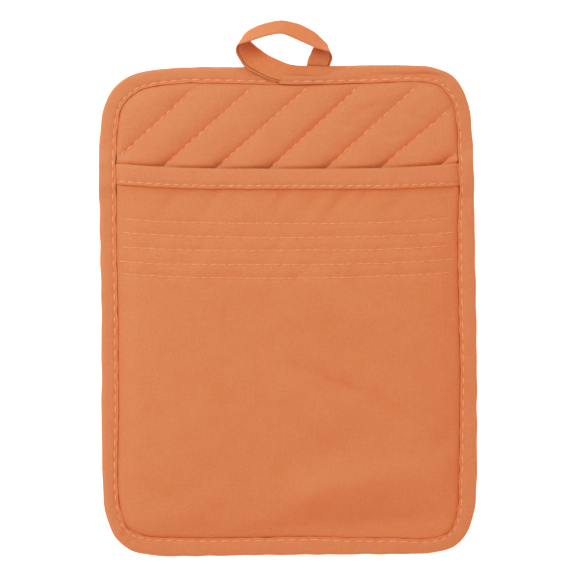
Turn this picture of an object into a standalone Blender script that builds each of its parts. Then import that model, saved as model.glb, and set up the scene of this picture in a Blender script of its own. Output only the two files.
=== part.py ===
"""Quilted pot holder with a hand pocket and a hanging loop, lying flat on its back.

Every length here is in millimetres; add_solid() turns it into metres.  X runs across the pot
holder, Y from its bottom edge towards the loop, and Z up from the surface that it lies on.
While the shapes are worked out, X and Y are 0 at the middle of the quilted body.
"""
import math
from collections import namedtuple

import bmesh
import bpy
import numpy as np
from mathutils import Vector
from mathutils.geometry import delaunay_2d_cdt

MM = 0.001
GAP = 0.3                     # air between two cloths that lie on each other

# ---- the quilted body's outline ----------------------------------------------------------
BODY_WIDTH = 190.0
BODY_HEIGHT = 248.0
# Each corner is a quarter of a superellipse.  side and end: -1 left or bottom, +1 right or top.
Corner = namedtuple("Corner", "side end reach_across reach_along squareness")
CORNERS = {
    "top_left": Corner(-1, 1, 56.0, 54.0, 4.0),
    "top_right": Corner(1, 1, 43.0, 58.0, 4.0),
    "bottom_right": Corner(1, -1, 39.5, 55.5, 4.0),
    "bottom_left": Corner(-1, -1, 40.0, 45.5, 3.4),
}
# The two sides are not quite straight: how far they swell out, where, and how often.
SideWave = namedtuple("SideWave", "side swell crest_y wave_length")
SIDE_WAVES = (SideWave(-1, 0.25, 61.0, 122.0), SideWave(1, 0.4, -15.0, 260.0))

# ---- cloth, and how the layers lie on each other at the rim -------------------------------
CLOTH = 1.0
LAYER = CLOTH + GAP
BINDING_REACH = 8.0           # width of the edge binding's front lip
BACK_LIP_REACH = 8.3
BINDING_ROUND = 1.5
BINDING_WALL = 0.9            # the edge binding's thickness at its fold
RIM_TUCK = BINDING_WALL + GAP # the pad and the pocket stop this far inside the outline
LIP_ZONE = 8.6                # inside this distance from the outline the layers lie flat
PAD_RIM_BOTTOM = LAYER
PAD_RIM_TOP = 3.8             # the filling is squeezed to this height under the binding

# ---- quilting ------------------------------------------------------------------------------
QUILT_ANGLE = math.radians(41.4)
# Distance of each stitched line from the body's middle, square to the lines.
QUILT_LINES = (-112.6, -93.5, -74.4, -55.3, -36.2, -17.1, 2.0, 21.9, 41.0, 61.4, 78.7, 96.5, 116.7)
QUILT_PITCH = 19.1            # used past the first and the last line
GROOVE_TOP = 4.6              # height of the cloth at a stitched line
PUFF_RISE = 2.6
FRONT_STATIONS = (-6.0, -2.2, 0.0, 2.2, 6.0)
BACK_GROOVE_DEPTH = 1.0
BACK_GROOVE_REACH = 3.4       # a groove of the back is this wide on each side of its line
BACK_STATIONS = (-BACK_GROOVE_REACH, 0.0, BACK_GROOVE_REACH)
FRONT_SWELL = 5.4             # the front rises over this width inside the lip zone
BACK_SWELL = 3.4
LINE_STEP = 13.0              # mesh step along a quilting line
LINE_MARGIN = 1.5             # the mesh lines stop this far inside the lip zone
LINE_CLEAR = 3.0              # the even steps start this far past the swell
SHORTEST_LINE = 4.0
SHORTEST_STEP = 0.4

# ---- pocket --------------------------------------------------------------------------------
MOUTH_Y = 75.0                # the mouth binding's upper fold, halfway between its two ends
MOUTH_SKEW = 1.3              # its left end sits this much higher, its right end lower
MOUTH_SAG = 2.85              # the slack mouth hangs down this far in the middle
SAG_SHARPNESS = 3.4
SAG_FADE_DEPTH = (0.0, 28.0, 60.0, 180.0)
SAG_FADE = (1.0, 0.8, 0.8, 0.0)
BELLY = 6.5                   # the slack pocket stands this far off the puffs
BELLY_SIDE_REACH = 16.0
BELLY_END_REACH = 26.0
BELLY_RAMP = 10.0
PANEL_EDGE = 1.3              # depth of the pocket cloth's edge inside the mouth binding
FRONT_LEAF = 11.0
BACK_LEAF = 9.2
LIFT_END = 14.0               # below this depth the pocket lies on the pad again
STITCH_ROWS = (28.2, 35.5, 42.2, 49.6, 56.3)
ROW_VALLEY = 0.35
ROW_VALLEY_REACH = 3.0
SQUEEZED_LEAF = 0.6           # the mouth binding's leaves are pressed this thin under the lip
LEAF_RELEASE = 5.4            # and are full again this far from it
LIP_RAMP_ABOVE = (-7.0, -0.3) # depths between which the edge binding climbs over the mouth
LIP_RAMP_BELOW = (11.3, 18.0) # and comes down again onto the pocket
FOLD_ROUND = 1.2              # rounding of the mouth binding's fold
MID_LEAF = 5.0                # mesh station halfway down its leaves
# Soft folds of the slack pocket; heading in degrees, and the lengths are those of a bell curve.
Fold = namedtuple("Fold", "x y heading half_length half_width height")
FOLDS = (
    Fold(28.5, -39.7, -25.0, 42.0, 6.0, -1.2),
    Fold(49.0, -10.5, -44.0, 30.0, 10.0, 1.1),
    Fold(29.0, -14.5, -44.0, 20.0, 8.0, -0.8),
    Fold(26.5, -68.5, 10.0, 20.0, 10.0, -1.0),
    Fold(31.5, -88.0, 8.0, 46.0, 9.0, 1.5),
)

# ---- hanging loop ----------------------------------------------------------------------------
TAPE_THICKNESS = 1.6
TAPE_ROUND = 0.45
LOOP_STEPS = 4                # mesh steps between two rows of the route
TAPE_ON_LIP = PAD_RIM_TOP + GAP + CLOTH + GAP + TAPE_THICKNESS / 2
TAPE_ON_TAPE = TAPE_ON_LIP + TAPE_THICKNESS + GAP
# Where the tape's two rims run, row by row.  Its far rim is nearer the surface, its near rim higher.
# Columns: far x, far y, far z, near x, near y, near z.
LOOP_ROUTE = (
    (43.9, 123.7, TAPE_ON_LIP, 43.9, 114.2, TAPE_ON_LIP),
    (33.9, 123.7, TAPE_ON_LIP, 33.9, 114.2, TAPE_ON_LIP),
    (28.4, 123.7, TAPE_ON_LIP + 0.4, 28.4, 114.1, TAPE_ON_LIP + 0.4),
    (22.9, 123.7, TAPE_ON_TAPE, 22.5, 114.1, TAPE_ON_TAPE),
    (15.9, 123.9, TAPE_ON_TAPE, 14.9, 114.4, TAPE_ON_TAPE),
    (10.5, 124.0, TAPE_ON_TAPE, 8.5, 114.5, TAPE_ON_TAPE),
    (5.5, 124.2, 8.2, 2.4, 115.1, 8.2),
    (1.2, 125.1, 7.6, -3.0, 116.4, 8.0),
    (-3.6, 127.1, 6.9, -8.0, 118.3, 8.0),
    (-9.0, 129.8, 6.1, -13.9, 122.1, 8.0),
    (-14.0, 133.5, 5.2, -19.0, 125.7, 8.4),
    (-16.7, 136.5, 5.0, -22.5, 129.1, 8.8),
    (-19.2, 138.4, 5.2, -24.2, 132.0, 10.5),
    (-21.2, 139.2, 5.6, -23.6, 134.2, 13.6),
    (-20.0, 140.4, 6.2, -21.2, 135.6, 14.6),
    (-16.9, 143.0, 6.8, -16.6, 136.8, 14.6),
    (-11.8, 145.3, 7.6, -10.2, 138.5, 14.8),
    (-2.6, 147.3, 8.2, -2.8, 139.7, 15.0),
    (3.5, 146.3, 8.2, 1.8, 138.3, 14.4),
    (8.5, 144.5, 8.2, 5.4, 136.6, 14.2),
    (15.0, 140.7, 7.6, 11.4, 134.0, 14.2),
    (18.2, 137.3, 6.6, 15.3, 132.0, 14.6),
    (20.0, 134.6, 5.4, 18.6, 130.9, 14.4),
    (19.4, 133.0, 5.0, 21.2, 129.5, 13.6),
    (17.3, 132.4, 4.9, 22.7, 128.3, 11.4),
    (15.6, 131.8, 5.0, 23.3, 127.1, 8.6),
    (13.5, 129.2, 5.3, 22.3, 124.7, 6.8),
    (12.0, 126.6, 5.9, 21.0, 121.9, TAPE_ON_LIP),
    (10.6, 123.9, TAPE_ON_LIP, 19.6, 119.4, TAPE_ON_LIP),
    (8.6, 120.4, TAPE_ON_LIP, 17.4, 115.8, TAPE_ON_LIP),
)

# ---- looks: linear base colour, roughness ----------------------------------------------------
FINISHES = {
    "quilted_cloth": ((0.66, 0.205, 0.078), 0.85),
    "pocket_cloth": ((0.66, 0.200, 0.074), 0.85),
    "mouth_binding_cloth": ((0.67, 0.213, 0.084), 0.85),
    "edge_binding_cloth": ((0.67, 0.213, 0.086), 0.85),
    "loop_tape": ((0.67, 0.205, 0.080), 0.85),
}

# ---- mesh steps --------------------------------------------------------------------------------
FINE_STEP = 0.5
NORMAL_SPAN = 3               # an outline normal is taken over this many fine steps each way
STATION_STEP = 13.0
STATION_TURN = math.radians(8.0)
ABOVE_RAMP = 9.0              # one more station this far above the lip's climb
MOUTH_DEPTHS = (PANEL_EDGE, MID_LEAF, BACK_LEAF, LIP_RAMP_BELOW[0], LIFT_END)
SIDE_DISTANCES = (RIM_TUCK, LIP_ZONE, 11.0, 14.0, 19.0, 27.0, 38.0, 50.0, 62.0, 74.0, 85.0)
PANEL_RINGS = (LIP_ZONE, 11.0, 14.0)
PANEL_ROW_INSET = 17.5        # the pocket's straight mesh rows start this far inside the outline
PANEL_ROWS_ABOVE = (19.0, 24.5)
PANEL_ROW_BELOW = 60.5
PANEL_END = 19.0              # the last row is this far above the bottom edge
PANEL_STEP = 12.5
ON_EDGE = 1e-4


def smooth(value):
    """Soft step from 0 to 1."""
    t = np.clip(value, 0.0, 1.0)
    return t * t * (3.0 - 2.0 * t)


# ---- outline -------------------------------------------------------------------------------------
def corner_points(name, steps=60):
    """One rounded corner, from the side's end of it to the top or bottom edge's end."""
    corner = CORNERS[name]
    points = []
    for i in range(steps + 1):
        angle = 0.5 * math.pi * i / steps
        across = max(math.cos(angle), 0.0) ** (2.0 / corner.squareness)
        along = max(math.sin(angle), 0.0) ** (2.0 / corner.squareness)
        x = corner.side * (BODY_WIDTH / 2 - corner.reach_across * (1.0 - across))
        y = corner.end * (BODY_HEIGHT / 2 - corner.reach_along * (1.0 - along))
        points.append((x, y))
    return points


def resample(points, step):
    """A closed line through the points, in equal steps."""
    closed = np.vstack([points, points[:1]])
    lengths = np.hypot(*np.diff(closed, axis=0).T)
    arc = np.concatenate([[0.0], np.cumsum(lengths)])
    count = int(arc[-1] / step)
    marks = np.arange(count) * arc[-1] / count
    return np.column_stack([np.interp(marks, arc, closed[:, k]) for k in (0, 1)])


def outward(points):
    """Unit normals of a closed clockwise line."""
    ahead = np.roll(points, -NORMAL_SPAN, axis=0) - np.roll(points, NORMAL_SPAN, axis=0)
    ahead /= np.hypot(*ahead.T)[:, None]
    return np.column_stack([-ahead[:, 1], ahead[:, 0]])


def fine_outline():
    """The body's outline, clockwise from the top, in fine steps, and its normals."""
    points = corner_points("top_right")[::-1] + corner_points("bottom_right")
    points += corner_points("bottom_left")[::-1] + corner_points("top_left")
    line = resample(np.array(points), FINE_STEP)
    normals = outward(line)
    for side in SIDE_WAVES:
        wave = side.swell * np.cos(2.0 * math.pi * (line[:, 1] - side.crest_y) / side.wave_length)
        line[:, 0] += wave * np.where(side.side * normals[:, 0] > 0.0, normals[:, 0], 0.0)
    return line, outward(line)


OUTLINE, OUTLINE_NORMALS = fine_outline()
START = int(np.argmin(np.abs(OUTLINE[:, 0]) + np.where(OUTLINE[:, 1] > 0.0, 0.0, 1e3)))
OUTLINE = np.roll(OUTLINE, -START, axis=0)
OUTLINE_NORMALS = np.roll(OUTLINE_NORMALS, -START, axis=0)


def inset(xy):
    """Distance of each point from the outline."""
    xy = np.atleast_2d(xy)
    return np.array([np.hypot(*(OUTLINE - p).T).min() for p in xy])


def side_index(side, y):
    """Where the outline passes the height y on the left (-1) or the right (1) side."""
    miss = np.abs(OUTLINE[:, 1] - y) + np.where(side * OUTLINE[:, 0] > 0.0, 0.0, 1e3)
    return int(np.argmin(miss))


def mouth_y(side):
    """Height of the mouth's upper fold where it meets the left (-1) or the right (1) side."""
    return MOUTH_Y - side * MOUTH_SKEW


PIN_LEFT = OUTLINE[side_index(-1, mouth_y(-1)), 0] + LIP_ZONE
PIN_RIGHT = OUTLINE[side_index(1, mouth_y(1)), 0] - LIP_ZONE


def outline_stations():
    """Outline points that every rim shares: closer in the corners and by the mouth's ends."""
    depths = (LIP_RAMP_ABOVE[0] - ABOVE_RAMP,) + LIP_RAMP_ABOVE + MOUTH_DEPTHS + LIP_RAMP_BELOW[1:]
    fixed = {0, side_index(1, 0.0), side_index(-1, 0.0)}
    for side in (-1, 1):
        fixed |= {side_index(side, mouth_y(side) - depth) for depth in depths}
    for corner in CORNERS.values():
        start = (corner.side * (BODY_WIDTH / 2 - corner.reach_across), corner.end * BODY_HEIGHT / 2)
        fixed.add(int(np.argmin(np.hypot(*(OUTLINE - np.array(start)).T))))
        fixed.add(side_index(corner.side, corner.end * (BODY_HEIGHT / 2 - corner.reach_along)))
    fixed = sorted(fixed)
    marks = []
    for first, last in zip(fixed, fixed[1:] + [len(OUTLINE)]):
        ends = OUTLINE_NORMALS[first], OUTLINE_NORMALS[last % len(OUTLINE)]
        turn = math.acos(max(-1.0, min(1.0, float(ends[0] @ ends[1]))))
        length = (last - first) * FINE_STEP
        count = max(1, math.ceil(length / STATION_STEP), round(turn / STATION_TURN))
        marks += [first + round((last - first) * i / count) for i in range(count)]
    return sorted(set(marks))


STATIONS = outline_stations()


def ring(distance, marks=None):
    """The stations, moved inwards."""
    marks = STATIONS if marks is None else marks
    return OUTLINE[marks] - distance * OUTLINE_NORMALS[marks]


# ---- heights ---------------------------------------------------------------------------------------
def station_depth(xy):
    """Depth below the mouth's fold, for points of the rim."""
    x, y = np.atleast_2d(xy).T
    return np.where(x < 0.0, mouth_y(-1), mouth_y(1)) - y


def lip_underside(depth):
    """The edge binding's front lip climbs over the pocket and over the mouth binding's ends."""
    bare = PAD_RIM_TOP + GAP
    over_pocket = bare + LAYER
    over_mouth = over_pocket + 2 * (SQUEEZED_LEAF + GAP)
    heights = (bare, over_mouth, over_mouth, over_pocket)
    return np.interp(depth, LIP_RAMP_ABOVE + LIP_RAMP_BELOW, heights)


def quilt_offset(xy):
    """Distance to the nearest quilting line, and the width of the puff around the point."""
    x, y = np.atleast_2d(xy).T
    across = -x * math.sin(QUILT_ANGLE) + y * math.cos(QUILT_ANGLE)
    lines = (QUILT_LINES[0] - QUILT_PITCH,) + QUILT_LINES + (QUILT_LINES[-1] + QUILT_PITCH,)
    lines = np.array(lines)
    right = np.clip(np.searchsorted(lines, across), 1, len(lines) - 1)
    width = lines[right] - lines[right - 1]
    offset = np.minimum(across - lines[right - 1], lines[right] - across)
    return np.clip(offset, 0.0, None), width


def envelope(distance):
    """Height of the puffs' crests, which sink to the squeezed rim."""
    crest = GROOVE_TOP + PUFF_RISE
    return PAD_RIM_TOP + (crest - PAD_RIM_TOP) * smooth((distance - LIP_ZONE) / FRONT_SWELL)


def pad_front(xy):
    """Height of the quilted front."""
    offset, width = quilt_offset(xy)
    arch = np.sqrt(np.clip(1.0 - (1.0 - 2.0 * offset / width) ** 2, 0.0, 1.0))
    full = GROOVE_TOP + PUFF_RISE * arch
    return PAD_RIM_TOP + (full - PAD_RIM_TOP) * smooth((inset(xy) - LIP_ZONE) / FRONT_SWELL)


def pad_back(xy):
    """Height of the back: flat bands on the surface, a shallow groove at each quilting line."""
    offset, _width = quilt_offset(xy)
    groove = BACK_GROOVE_DEPTH * np.clip(1.0 - offset / BACK_GROOVE_REACH, 0.0, 1.0)
    sunk = 1.0 - np.clip((inset(xy) - LIP_ZONE) / BACK_SWELL, 0.0, 1.0)
    return np.maximum(groove * (1.0 - sunk), PAD_RIM_BOTTOM * sunk)


def across_mouth(x):
    """-1 at the left lip, 1 at the right lip, and no more beyond them."""
    middle = (PIN_LEFT + PIN_RIGHT) / 2
    return np.clip((x - middle) / ((PIN_RIGHT - PIN_LEFT) / 2), -1.0, 1.0)


def taut_y(x, depth):
    """Y of the pocket cloth at a depth below the mouth's fold, were it not slack."""
    return MOUTH_Y - MOUTH_SKEW * across_mouth(x) - depth


def sag(x, depth):
    """How far the slack cloth hangs down from there."""
    droop = 1.0 - np.abs(across_mouth(x)) ** SAG_SHARPNESS
    return MOUTH_SAG * droop * np.interp(depth, SAG_FADE_DEPTH, SAG_FADE)


def fold_height(xy):
    """The pocket's soft folds, added up."""
    x, y = np.atleast_2d(xy).T
    total = np.zeros(len(x))
    for fold in FOLDS:
        turn = math.radians(fold.heading)
        along = (x - fold.x) * math.cos(turn) + (y - fold.y) * math.sin(turn)
        aside = (y - fold.y) * math.cos(turn) - (x - fold.x) * math.sin(turn)
        bell = np.exp(-((along / fold.half_length) ** 2) - (aside / fold.half_width) ** 2)
        total += fold.height * bell
    return total


def row_valley(depth):
    """The cloth sinks a little at each stitched row."""
    nearest = np.min(np.abs(np.atleast_1d(depth)[:, None] - np.array(STITCH_ROWS)), axis=1)
    return ROW_VALLEY * np.clip(1.0 - nearest / ROW_VALLEY_REACH, 0.0, 1.0)


def from_lips(x):
    """Distance from the nearer side's lip, and 0 under it."""
    return np.clip(np.minimum(x - PIN_LEFT, PIN_RIGHT - x), 0.0, None)


def leaf_thickness(x):
    """Thickness of each leaf of the mouth binding, which its ends' seams squeeze."""
    return np.interp(from_lips(x), (0.0, LEAF_RELEASE), (SQUEEZED_LEAF, CLOTH))


def pocket_underside(x, depth):
    """Y and height of the pocket cloth's underside."""
    y = taut_y(x, depth) - sag(x, depth)
    xy = np.column_stack([x, y])
    distance = inset(xy)
    lift = (leaf_thickness(x) + GAP) * np.interp(depth, (BACK_LEAF, LIFT_END), (1.0, 0.0))
    from_side = from_lips(x)
    from_end = np.clip(y + BODY_HEIGHT / 2 - LIP_ZONE, 0.0, None)
    belly = (1.0 - np.exp(-from_side / BELLY_SIDE_REACH)) * (1.0 - np.exp(-from_end / BELLY_END_REACH))
    free = smooth((distance - LIP_ZONE) / BELLY_RAMP)
    slack = (BELLY * belly + fold_height(xy) - row_valley(depth)) * free
    return y, envelope(distance) + GAP + lift + slack


# ---- meshes ------------------------------------------------------------------------------------------
def add_solid(name, finish, points, faces):
    """A named object from points in millimetres, its faces turned outwards."""
    mesh = bpy.data.meshes.new(name)
    shape = bmesh.new()
    corners = [shape.verts.new(Vector(p) * MM) for p in points]
    for face in faces:
        shape.faces.new([corners[i] for i in face])
    bmesh.ops.recalc_face_normals(shape, faces=shape.faces)
    shape.to_mesh(mesh)
    shape.free()
    mesh.materials.append(finish_material(finish))
    mesh.shade_smooth()
    mesh.set_sharp_from_angle(angle=math.radians(50.0))
    piece = bpy.data.objects.new(name, mesh)
    bpy.context.scene.collection.objects.link(piece)
    return piece


def finish_material(name):
    """A plain dyed cotton, from its row in FINISHES."""
    colour, roughness = FINISHES[name]
    material = bpy.data.materials.new(name)
    material.use_nodes = True
    shader = material.node_tree.nodes["Principled BSDF"]
    shader.inputs["Base Color"].default_value = (*colour, 1.0)
    shader.inputs["Roughness"].default_value = roughness
    shader.inputs["Metallic"].default_value = 0.0
    return material


def triangulate(boundary, inner_lines):
    """Triangles inside a boundary that keep to the inner lines.

    Returns the points, the triangles, and where each boundary point is among the points.
    """
    points = [Vector(p) for p in boundary]
    edges = []
    for line in inner_lines:
        first = len(points)
        points += [Vector(p) for p in line]
        edges += [(i, i + 1) for i in range(first, len(points) - 1)]
    rim = list(range(len(boundary)))
    flat, _edges, triangles, origins, _, _ = delaunay_2d_cdt(points, edges, [rim], 1, ON_EDGE)
    place = {origin: i for i, found in enumerate(origins) for origin in found}
    return np.array([tuple(p) for p in flat]), [tuple(t) for t in triangles], [place[i] for i in rim]


def swept_faces(count, sides, closed):
    """Quads between one section and the next, and end caps where the sweep is open."""
    faces = []
    for i in range(count if closed else count - 1):
        here, there = i * sides, (i + 1) % count * sides
        for k in range(sides):
            after = (k + 1) % sides
            faces.append((here + k, here + after, there + after, there + k))
    if not closed:
        faces.append(tuple(range(sides)))
        faces.append(tuple(range((count - 1) * sides, count * sides)))
    return faces


def inside_span(start, heading, distance):
    """The stretch of a straight line that lies deeper than a distance inside the outline."""
    marks = np.arange(-200.0, 200.0, 1.0)
    line = np.array(start) + marks[:, None] * np.array(heading)
    within = (np.abs(line[:, 0]) < BODY_WIDTH / 2) & (np.abs(line[:, 1]) < BODY_HEIGHT / 2)
    within[within] = inset(line[within]) > distance
    if within.any():
        keep = marks[within]
        outside = Vector(tuple(line[within][0])), Vector(tuple(line[within][-1]))
        if all(corner_clear(p) for p in outside):
            return keep[0], keep[-1]
    return None


def corner_clear(point):
    """Whether a point is inside the outline and not in the corner outside its rounding."""
    nearest = int(np.argmin(np.hypot(*(OUTLINE - np.array(point)).T)))
    return float((OUTLINE[nearest] - np.array(point)) @ OUTLINE_NORMALS[nearest]) > 0.0


def quilt_mesh_lines(stations, swell):
    """Mesh lines along the quilting, at each station beside each stitched line."""
    heading = np.array((math.cos(QUILT_ANGLE), math.sin(QUILT_ANGLE)))
    square = np.array((-heading[1], heading[0]))
    lines = []
    for line in QUILT_LINES:
        for station in stations:
            start = square * (line + station)
            span = inside_span(start, heading, LIP_ZONE + LINE_MARGIN)
            if span is None or span[1] - span[0] < SHORTEST_LINE:
                continue
            first, last = span
            marks = {first, last}
            for mark in (first + swell / 2, first + swell, last - swell / 2, last - swell):
                marks.add(min(max(mark, first), last))
            even = np.arange(-BODY_HEIGHT, BODY_HEIGHT, LINE_STEP)
            low, high = first + swell + LINE_CLEAR, last - swell - LINE_CLEAR
            marks = sorted(marks.union(even[(even > low) & (even < high)]))
            kept = [m for i, m in enumerate(marks) if i == 0 or m - marks[i - 1] > SHORTEST_STEP]
            lines.append([start + m * heading for m in kept])
    return lines


def make_pad():
    """The filled panel, stitched through along the quilting lines and squeezed at its rim."""
    boundary = ring(RIM_TUCK)
    lip_ring = ring(LIP_ZONE)
    lip_ring = np.vstack([lip_ring, lip_ring[:1]])
    front, front_faces, front_rim = triangulate(
        boundary, [lip_ring] + quilt_mesh_lines(FRONT_STATIONS, FRONT_SWELL))
    back, back_faces, back_rim = triangulate(
        boundary, [lip_ring] + quilt_mesh_lines(BACK_STATIONS, BACK_SWELL))
    points = [(*p, z) for p, z in zip(front, pad_front(front))]
    points += [(*p, z) for p, z in zip(back, pad_back(back))]
    first = len(front)
    faces = front_faces + [tuple(i + first for i in face) for face in back_faces]
    for i, here in enumerate(front_rim):
        after = (i + 1) % len(front_rim)
        faces.append((here, front_rim[after], back_rim[after] + first, back_rim[i] + first))
    return add_solid("quilted_pad", "quilted_cloth", points, faces)


def rim_marks_below_mouth(depth):
    """Stations from the right end of the mouth, round the bottom, to its left end."""
    first = side_index(1, mouth_y(1) - depth)
    last = side_index(-1, mouth_y(-1) - depth)
    return [mark for mark in STATIONS if first <= mark <= last]


def across_stations(margin):
    """X stations from the left to the right, starting a margin inside each side."""
    left, right = PIN_LEFT - LIP_ZONE, PIN_RIGHT + LIP_ZONE
    near = [d for d in SIDE_DISTANCES if d >= margin]
    return [left + d for d in near] + [0.0] + [right - d for d in reversed(near)]


def panel_depths():
    """Depths of the pocket's mesh rows: close at the mouth and the stitched rows, even below."""
    halfway = [(a + b) / 2 for a, b in zip(STITCH_ROWS, STITCH_ROWS[1:])]
    depths = [*MOUTH_DEPTHS[1:], *PANEL_ROWS_ABOVE, *sorted([*STITCH_ROWS, *halfway]), PANEL_ROW_BELOW]
    rest = MOUTH_Y + BODY_HEIGHT / 2 - PANEL_END - PANEL_ROW_BELOW
    count = round(rest / PANEL_STEP)
    return depths + [PANEL_ROW_BELOW + rest * (i + 1) / count for i in range(count)]


def make_pocket():
    """The slack pocket cloth, sewn in at both sides and the bottom and open at the top."""
    marks = rim_marks_below_mouth(PANEL_EDGE)
    mouth = [(x, float(taut_y(x, PANEL_EDGE))) for x in across_stations(LIP_ZONE)]
    boundary = np.vstack([ring(RIM_TUCK, marks), mouth])
    lines = [ring(distance, marks[1:-1]) for distance in PANEL_RINGS]
    for depth in panel_depths():
        row = [(x, float(taut_y(x, depth))) for x in across_stations(PANEL_ROW_INSET)]
        lines.append([p for p in row if inset(p)[0] > PANEL_ROW_INSET and corner_clear(p)])
    flat, triangles, rim = triangulate(boundary, lines)
    depth = MOUTH_Y - MOUTH_SKEW * across_mouth(flat[:, 0]) - flat[:, 1]
    y, under = pocket_underside(flat[:, 0], depth)
    points = [(x, yy, z) for x, yy, z in zip(flat[:, 0], y, under)]
    points += [(x, yy, z + CLOTH) for x, yy, z in points]
    first = len(flat)
    faces = [tuple(reversed(t)) for t in triangles] + [tuple(i + first for i in t) for t in triangles]
    for i, here in enumerate(rim):
        after = rim[(i + 1) % len(rim)]
        faces.append((here, after, after + first, here + first))
    return add_solid("pocket_panel", "pocket_cloth", points, faces)


def make_mouth_binding():
    """The folded strip over the pocket's mouth: depth below its fold, height over the pocket."""
    stations = across_stations(RIM_TUCK)
    soft = 0.3 * FOLD_ROUND
    points = []
    for x in stations:
        leaf = float(leaf_thickness(x))
        top, under = LAYER + leaf, -GAP - leaf
        section = (
            (FRONT_LEAF, top), (MID_LEAF, top), (FOLD_ROUND, top), (soft, top - soft),
            (0.0, top - FOLD_ROUND), (0.0, under + FOLD_ROUND), (soft, under + soft),
            (FOLD_ROUND, under), (MID_LEAF, under), (BACK_LEAF, under), (BACK_LEAF, -GAP),
            (MID_LEAF, -GAP), (CLOTH, -GAP), (CLOTH, LAYER), (MID_LEAF, LAYER),
            (BACK_LEAF, LAYER), (FRONT_LEAF, LAYER),
        )
        depth = np.array([d for d, _h in section])
        y, base = pocket_underside(np.full(len(section), x), depth)
        points += [(x, yy, b + h) for yy, b, (_d, h) in zip(y, base, section)]
    faces = swept_faces(len(stations), len(section), closed=False)
    return add_solid("pocket_binding", "mouth_binding_cloth", points, faces)


def make_edge_binding():
    """The folded strip all round: distance in from the outline, and height."""
    points = []
    soft = 0.3 * BINDING_ROUND
    lips = lip_underside(station_depth(OUTLINE[STATIONS]))
    for mark, lip in zip(STATIONS, lips):
        top = lip + CLOTH
        section = (
            (BACK_LIP_REACH, 0.0), (BINDING_ROUND, 0.0), (soft, soft), (0.0, BINDING_ROUND),
            (0.0, top - BINDING_ROUND), (soft, top - soft), (BINDING_ROUND, top),
            (BINDING_REACH, top), (BINDING_REACH, lip), (BINDING_WALL, lip),
            (BINDING_WALL, CLOTH), (BACK_LIP_REACH, CLOTH),
        )
        for distance, height in section:
            x, y = OUTLINE[mark] - distance * OUTLINE_NORMALS[mark]
            points.append((x, y, height))
    faces = swept_faces(len(STATIONS), len(section), closed=True)
    return add_solid("edge_binding", "edge_binding_cloth", points, faces)


def through_points(rows, steps):
    """A smooth line through the rows of a table (Catmull-Rom), with some steps between rows."""
    rows = np.array(rows, dtype=float)
    padded = np.vstack([2 * rows[0] - rows[1], rows, 2 * rows[-1] - rows[-2]])
    line = []
    for a, b, c, d in zip(padded, padded[1:], padded[2:], padded[3:]):
        for i in range(steps):
            t = i / steps
            line.append(0.5 * (2 * b + (c - a) * t + (2 * a - 5 * b + 4 * c - d) * t ** 2
                               + (3 * b - a - 3 * c + d) * t ** 3))
    line.append(rows[-1])
    return np.array(line)


def make_hanging_loop():
    """The folded tape: it leaves the top binding, turns over in the air and comes back to it."""
    route = through_points(LOOP_ROUTE, LOOP_STEPS)
    far, near = route[:, :3], route[:, 3:]
    middle = (far + near) / 2
    thick = TAPE_THICKNESS / 2
    points = []
    for place, direction, across in zip(middle, np.gradient(middle, axis=0), near - far):
        half = np.linalg.norm(across) / 2
        across = across / (2 * half)
        face = np.cross(direction, across)
        face /= np.linalg.norm(face)
        section = (
            (-half, -thick + TAPE_ROUND), (-half + TAPE_ROUND, -thick), (half - TAPE_ROUND, -thick),
            (half, -thick + TAPE_ROUND), (half, thick - TAPE_ROUND), (half - TAPE_ROUND, thick),
            (-half + TAPE_ROUND, thick), (-half, thick - TAPE_ROUND),
        )
        points += [tuple(place + wide * across + deep * face) for wide, deep in section]
    faces = swept_faces(len(middle), len(section), closed=False)
    return add_solid("hanging_loop", "loop_tape", points, faces)


def stand_on_origin(pieces):
    """Put the origin under the middle of the whole thing, on the surface that it lies on."""
    corners = np.array([tuple(v.co) for piece in pieces for v in piece.data.vertices])
    low, high = corners.min(axis=0), corners.max(axis=0)
    shift = Vector((-(low[0] + high[0]) / 2, -(low[1] + high[1]) / 2, -low[2]))
    for piece in pieces:
        for vertex in piece.data.vertices:
            vertex.co += shift


def main():
    for old in list(bpy.data.objects):
        bpy.data.objects.remove(old, do_unlink=True)
    pieces = [make_pad(), make_pocket(), make_mouth_binding(), make_edge_binding(), make_hanging_loop()]
    stand_on_origin(pieces)


main()
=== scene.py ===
"""Looks of a quilted pot holder with a hand pocket: fine cloth, seams, stitches and soft light.

Lengths are in millimetres.  X and Y are 0 at the middle of the body (the pot holder without its
loop), and Z is 0 on the floor.  new_piece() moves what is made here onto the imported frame.  The
studio alone is in metres.
"""

import math
from collections import namedtuple

import bpy
import numpy as np
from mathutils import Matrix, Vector
from mathutils.bvhtree import BVHTree
from mathutils.geometry import delaunay_2d_cdt


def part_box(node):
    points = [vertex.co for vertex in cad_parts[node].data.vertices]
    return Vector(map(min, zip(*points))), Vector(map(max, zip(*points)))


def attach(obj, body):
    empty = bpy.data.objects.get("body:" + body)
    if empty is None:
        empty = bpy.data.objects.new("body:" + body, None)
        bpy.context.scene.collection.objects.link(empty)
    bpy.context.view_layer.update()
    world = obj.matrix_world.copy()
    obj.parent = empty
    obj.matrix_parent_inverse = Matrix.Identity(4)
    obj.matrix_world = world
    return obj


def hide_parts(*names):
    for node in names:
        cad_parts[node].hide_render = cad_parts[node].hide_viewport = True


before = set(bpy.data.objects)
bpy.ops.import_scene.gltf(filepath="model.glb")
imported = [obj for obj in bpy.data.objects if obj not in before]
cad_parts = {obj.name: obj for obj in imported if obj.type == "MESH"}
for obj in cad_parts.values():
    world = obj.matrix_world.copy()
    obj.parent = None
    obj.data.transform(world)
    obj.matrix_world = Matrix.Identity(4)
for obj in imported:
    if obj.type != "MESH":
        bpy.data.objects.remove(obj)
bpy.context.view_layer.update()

MM = 0.001
rng = np.random.default_rng(11)

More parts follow.
